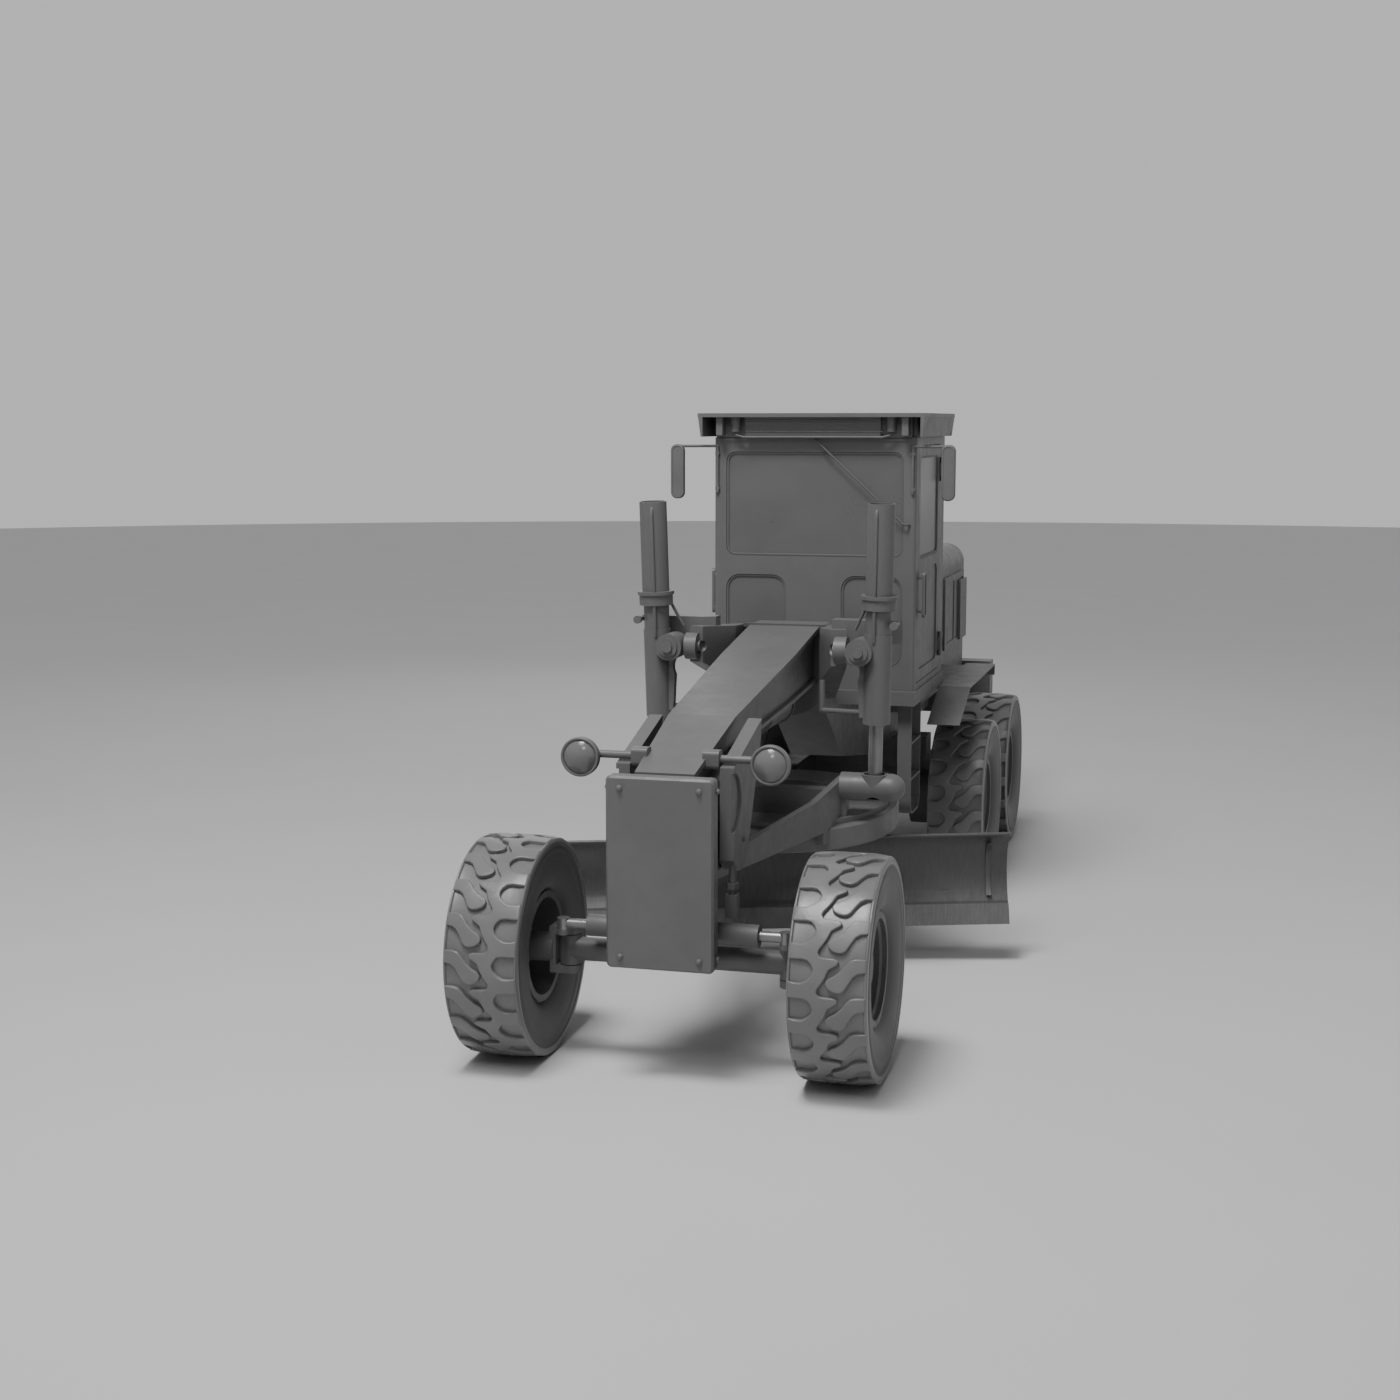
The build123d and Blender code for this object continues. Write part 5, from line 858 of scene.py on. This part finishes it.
# %% [markdown]
# ## The wiper
# One thin arm hangs from the middle of the roof edge across the windscreen and ends in
# a short foot. A rod can be a curve with a round bevel, but then it has to be turned
# into a mesh. Here a circle is set square to the path at each point, and neighbouring
# circles are bridged, with a cap at both ends.

# %% A rod along points
def rod(bm, points, radius, sides=10):
    points = [Vector(p) for p in points]
    last = None
    for index, point in enumerate(points):
        before = points[max(index - 1, 0)]
        after = points[min(index + 1, len(points) - 1)]
        turn = (after - before).normalized().to_track_quat("Z", "Y").to_matrix().to_4x4()
        place = Matrix.Translation(point) @ turn
        made = bmesh.ops.create_circle(bm, segments=sides, radius=radius, matrix=place)
        edges = edges_of(made["verts"])
        if last:
            bmesh.ops.bridge_loops(bm, edges=last + edges)
        else:
            bmesh.ops.contextual_create(bm, geom=edges)
        last = edges
    bmesh.ops.contextual_create(bm, geom=last)


print("rods are ready")

# %% Wiper
SCREEN_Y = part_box("cab_front")[0][1]
WIPER_Y = SCREEN_Y - 0.030
IN_WALL = SCREEN_Y + 0.010
ARM_R = 0.0065
ARM = (
    (0.004, IN_WALL, 3.464), (0.010, WIPER_Y, 3.468),
    (0.030, WIPER_Y, 3.452), (0.560, WIPER_Y, 2.958),
)
FOOT_R = 0.0085
FOOT = (
    (0.560, WIPER_Y, 2.958), (0.628, WIPER_Y, 2.900), (0.640, WIPER_Y, 2.880),
    (0.664, WIPER_Y, 2.874), (0.690, IN_WALL, 2.874),
)
bm = bmesh.new()
rod(bm, ARM, ARM_R)
rod(bm, FOOT, FOOT_R)
piece(bm, "wiper", seal_rubber, "chassis")

# %% [markdown]
# ## The lip under the roof
# The vent under the roof's front edge is ribbed and ends in a thin bead, and below it
# the cab's top edge is rolled into a shallow tray whose ends turn up. A sharp line
# would do in plain shading, but only a rounded edge catches a thin line of light, so
# all of them are rods.

# %% Bead and lip
VENT_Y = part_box("roof")[0][1] + 0.090
BEAD_Y, BEAD_Z, BEAD_R = VENT_Y - 0.002, 3.521, 0.0045
RIB_Y, RIB_HALF, RIB_R = VENT_Y + 0.001, 0.490, 0.0030
RIB_LEVELS = (3.540, 3.556, 3.572, 3.588, 3.604)
LIP_Y, LIP_R = VENT_Y - 0.006, 0.0085
LIP = (
    # across, level
    (-0.555, 3.499), (-0.530, 3.492), (-0.500, 3.4845),
    (0.500, 3.4845), (0.530, 3.492), (0.555, 3.499),
)
bm = bmesh.new()
rod(bm, ((-0.480, BEAD_Y, BEAD_Z), (0.500, BEAD_Y, BEAD_Z)), BEAD_R, sides=8)
for level in RIB_LEVELS:
    rod(bm, ((-RIB_HALF, RIB_Y, level), (RIB_HALF, RIB_Y, level)), RIB_R, sides=6)
piece(bm, "vent_bead", cab_coat, "chassis")
bm = bmesh.new()
rod(bm, [(x, LIP_Y, z) for x, z in LIP], LIP_R)
piece(bm, "roof_lip", coat, "chassis")

# %% [markdown]
# ## Domed heads
# The front plate is held by bolts with a washer under a low domed head, and its folded
# flanks end in small caps. A sphere cut in half has no washer and no soft edge. An
# outline of radius and height, turned round the way it looks, has both, and the same
# few lines later make lenses and nuts. The bolts sit where the plate's studs are.

# %% Turned forms
BOLT = (
    # radius, height
    (0.0190, -0.001), (0.0190, 0.003), (0.0160, 0.0045), (0.0155, 0.009),
    (0.0135, 0.0125), (0.0090, 0.0155), (0.0, 0.0170),
)
END_CAP = (
    # radius, height
    (0.0150, -0.006), (0.0148, 0.001), (0.0110, 0.006), (0.0060, 0.0082), (0.0, 0.0090),
)


def spun(bm, outline, place, outward, steps):
    """Turns an outline and sets it at a place. Tags keep earlier forms where they are."""
    turned(bm, [(radius, 0.0, height) for radius, height in outline], axis=(0, 0, 1), steps=steps)
    turn = Vector(outward).to_track_quat("Z", "Y").to_matrix().to_4x4()
    fresh = [v for v in bm.verts if not v.tag]
    bmesh.ops.transform(bm, matrix=Matrix.Translation(place) @ turn, verts=fresh)
    for v in fresh:
        v.tag = True


print("a bolt's washer is", 2 * BOLT[0][0], "m across")

# %% Bolts and end caps
MM = 1000
PLATE_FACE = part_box("front_plate")[0][1] + 0.010
FLANK_X = 0.313
FLANK_BACK = 0.062
CAP_FROM_END = 0.070
STUDS = next(m for m in frame["record"]["mounts"] if m["name"] == "front_plate_studs")
half_x = STUDS["dims"]["spacing_x_mm"] / (2 * MM)
half_z = STUDS["dims"]["spacing_y_mm"] / (2 * MM)
bm = bmesh.new()
for sx in (-1, 1):
    for sz in (-1, 1):
        stud = (sx * half_x, PLATE_FACE, STUDS["pos_m"][2] + sz * half_z)
        spun(bm, BOLT, stud, (0, -1, 0), steps=28)
        flank_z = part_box("front_plate")[0 if sz < 0 else 1][2] - sz * CAP_FROM_END
        spun(bm, END_CAP, (sx * FLANK_X, PLATE_FACE + FLANK_BACK, flank_z), (sx, 0, 0), steps=24)
piece(bm, "plate_bolt_heads", coat, "chassis")

# %% [markdown]
# ## Lenses
# A lamp's glass bulges, and it mirrors a bright spot somewhere near its top. A flat
# disk would turn all bright or all dark at once. The lens is one shallow arc of a
# sphere, whose radius follows from how wide it is and how far it rises.

# %% Lenses
LENS_R = 0.1005
LENS_RISE = 0.045
ARC_STEPS = 9
LAMP_HALF = 0.110
RIM_BACK = 0.016
ball = (LENS_R ** 2 + LENS_RISE ** 2) / (2 * LENS_RISE)
widest = math.asin(LENS_R / ball)
arc = []
for k in range(ARC_STEPS + 1):
    angle = widest * (1 - k / ARC_STEPS)
    arc.append((ball * math.sin(angle), ball * (math.cos(angle) - math.cos(widest))))
for tag, side in SIDE.items():
    low, high = corners("lamp_" + tag)
    far = max(abs(low.x), abs(high.x))
    bm = bmesh.new()
    centre = (side * (far - LAMP_HALF), low.y + RIM_BACK, (low.z + high.z) / 2)
    spun(bm, arc, centre, (0, -1, 0), steps=48)
    piece(bm, "lens_" + tag, lens_glass, "chassis")
print("lens sphere:", round(ball, 4), "m")

# %% [markdown]
# ## Wheel nuts
# The ten studs of each rim are plain pins in the solid. A nut could be a cylinder with
# six sides and a separate washer. The turned form with only six steps gives the
# hexagon, the washer and the end of the stud in one piece, as long as its edges are
# kept sharp.

# %% Nuts on the studs
NUT = (
    # radius, height
    (0.0250, -0.004), (0.0250, 0.004), (0.0215, 0.005), (0.0215, 0.024),
    (0.0180, 0.028), (0.0130, 0.0285), (0.0128, 0.033), (0.0, 0.033),
)
NUT_SIDES = 6
NUT_SMOOTH = 25.0
STUDS_EACH = 10
STUD_CIRCLE = 0.135
STUD_FOOT = 0.036
for axle in AXLES:
    for tag, side in SIDE.items():
        hub = hub_of(axle, tag)
        bm = bmesh.new()
        for turn in (math.tau * k / STUDS_EACH for k in range(STUDS_EACH)):
            across, up = STUD_CIRCLE * math.cos(turn), STUD_CIRCLE * math.sin(turn)
            spun(bm, NUT, hub + Vector((side * STUD_FOOT, across, up)), (side, 0, 0), steps=NUT_SIDES)
        nuts = piece(bm, f"wheel_nuts_{axle}_{tag}", casting, f"wheel_{axle}_{tag}", smooth=NUT_SMOOTH)

# %% [markdown]
# ## Pipes on the lift tubes
# A thin oil pipe is welded along the front of each lift tube. It runs up past the
# collar and turns into the tube just under its rim. A straight cylinder would leave
# the tube, because the tube leans out and ahead, so each point of the pipe is worked
# out from its level on the leaning tube.

# %% Oil pipes
TUBE_LEVEL = 2.138
TUBE_OUT = 0.733
TUBE_AHEAD = 1.626
LEAN_OUT = 0.0199
LEAN_AHEAD = 0.0405
PIPE_INWARD = 0.0142
PIPE_R = 0.0115
PIPE_RUN = (
    # level, how far ahead of the tube's middle
    (2.205, 0.088), (2.240, 0.094), (2.990, 0.094), (3.022, 0.090), (3.040, 0.078),
)


def beside_tube(side, level, clear):
    up = level - TUBE_LEVEL
    out = TUBE_OUT + up * LEAN_OUT - PIPE_INWARD
    return Vector((side * out, -TUBE_AHEAD - up * LEAN_AHEAD - clear, level))


for tag, side in SIDE.items():
    bm = bmesh.new()
    rod(bm, [beside_tube(side, level, clear) for level, clear in PIPE_RUN], PIPE_R, sides=14)
    piece(bm, "oil_pipe_" + tag, coat, "lift_barrel_" + tag)

# %% [markdown]
# ## The seat's pads
# Inside the cab stands one seat, with a cushion and a back of foam under a sewn cover.
# A box with a bevel looks like wood. Foam pulls its cover tight: the plan is rounded,
# the sides and the foot pull in, the top is crowned, and the seams press channels in.
# Each pad starts as a finely divided block, and one formula moves its points.

# %% Pads
PAD_CUTS = 27
PAD_ROUND = 0.16
PAD_PULL = 0.05
PAD_CROWN = 0.34
PAD_TOP = 0.9
PAD_SMOOTH = 60.0
CHANNELS = (-0.42, 0.0, 0.42)
CHANNEL_WIDTH = 0.045
CHANNEL_DEPTH = 0.20


def pulled(along, across, up):
    """One way of the plan: corners rounded, sides and foot pulled in."""
    rounded = along * math.sqrt(1 - PAD_ROUND * across * across)
    return rounded * (1 - PAD_PULL * (1 - across * across)) * (1 - PAD_PULL * up * up)


def pad(name, place, width, depth, thick):
    bm = bmesh.new()
    bmesh.ops.create_cube(bm, size=2.0)
    bmesh.ops.subdivide_edges(bm, edges=bm.edges[:], cuts=PAD_CUTS, use_grid_fill=True)
    for v in bm.verts:
        x, y, z = v.co
        rim = max(abs(x), abs(y))
        press = sum(math.exp(-((x - at) / CHANNEL_WIDTH) ** 2) for at in CHANNELS) if z > PAD_TOP else 0.0
        up = z * (1 - PAD_CROWN * rim ** 6) - CHANNEL_DEPTH * press * (1 - rim ** 8)
        v.co = Vector((pulled(x, y, z) * width / 2, pulled(y, x, z) * depth / 2, up * thick / 2))
    bmesh.ops.transform(bm, matrix=place, verts=bm.verts)
    made = piece(bm, name, seat_cloth, "chassis", smooth=PAD_SMOOTH)
    return made


print("a pad has", 6 * (PAD_CUTS + 1) ** 2, "faces")

# %% Cushion and back
BACK_LEAN = math.radians(8.7)
low, high = corners("seat")
cushion = pad(
    "seat_cushion", Matrix.Translation((0, low.y + 0.250, low.z + 0.385)),
    width=0.50, depth=0.50, thick=0.118,
)
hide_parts("seat")
leaning = facing(
    centre=Vector((0, high.y - 0.090, high.z - 0.302)),
    outward=Vector((0, -math.cos(BACK_LEAN), math.sin(BACK_LEAN))),
    up=Vector((0, math.sin(BACK_LEAN), math.cos(BACK_LEAN))),
)
pad("seat_back", leaning, width=0.46, depth=0.60, thick=0.092)

# %% [markdown]
# ## The seat's base
# The cushion rests on a tray, and the tray on a narrower box. Two cubes with slightly
# rounded edges say all of it. Each is sized by a matrix as it is made, so the finished
# piece needs no scale of its own.

# %% Base of the seat
BASE_MIDDLE = low.y + 0.265
BASE_BEVEL = 0.008
BASE = (
    # width, depth, foot and top above the cab's floor
    (0.30, 0.32, 0.0, 0.315),
    (0.44, 0.44, 0.312, 0.332),
)
bm = bmesh.new()
for width, depth, foot, top in BASE:
    middle = Vector((0, BASE_MIDDLE, low.z + (foot + top) / 2))
    sized = Matrix.Translation(middle) @ Matrix.Diagonal((width, depth, top - foot, 1.0))
    made = bmesh.ops.create_cube(bm, size=1.0, matrix=sized)
    edges = edges_of(made["verts"])
    bmesh.ops.bevel(bm, geom=edges, offset=BASE_BEVEL, segments=3, profile=0.5, affect="EDGES")
piece(bm, "seat_base", moulding, "chassis")
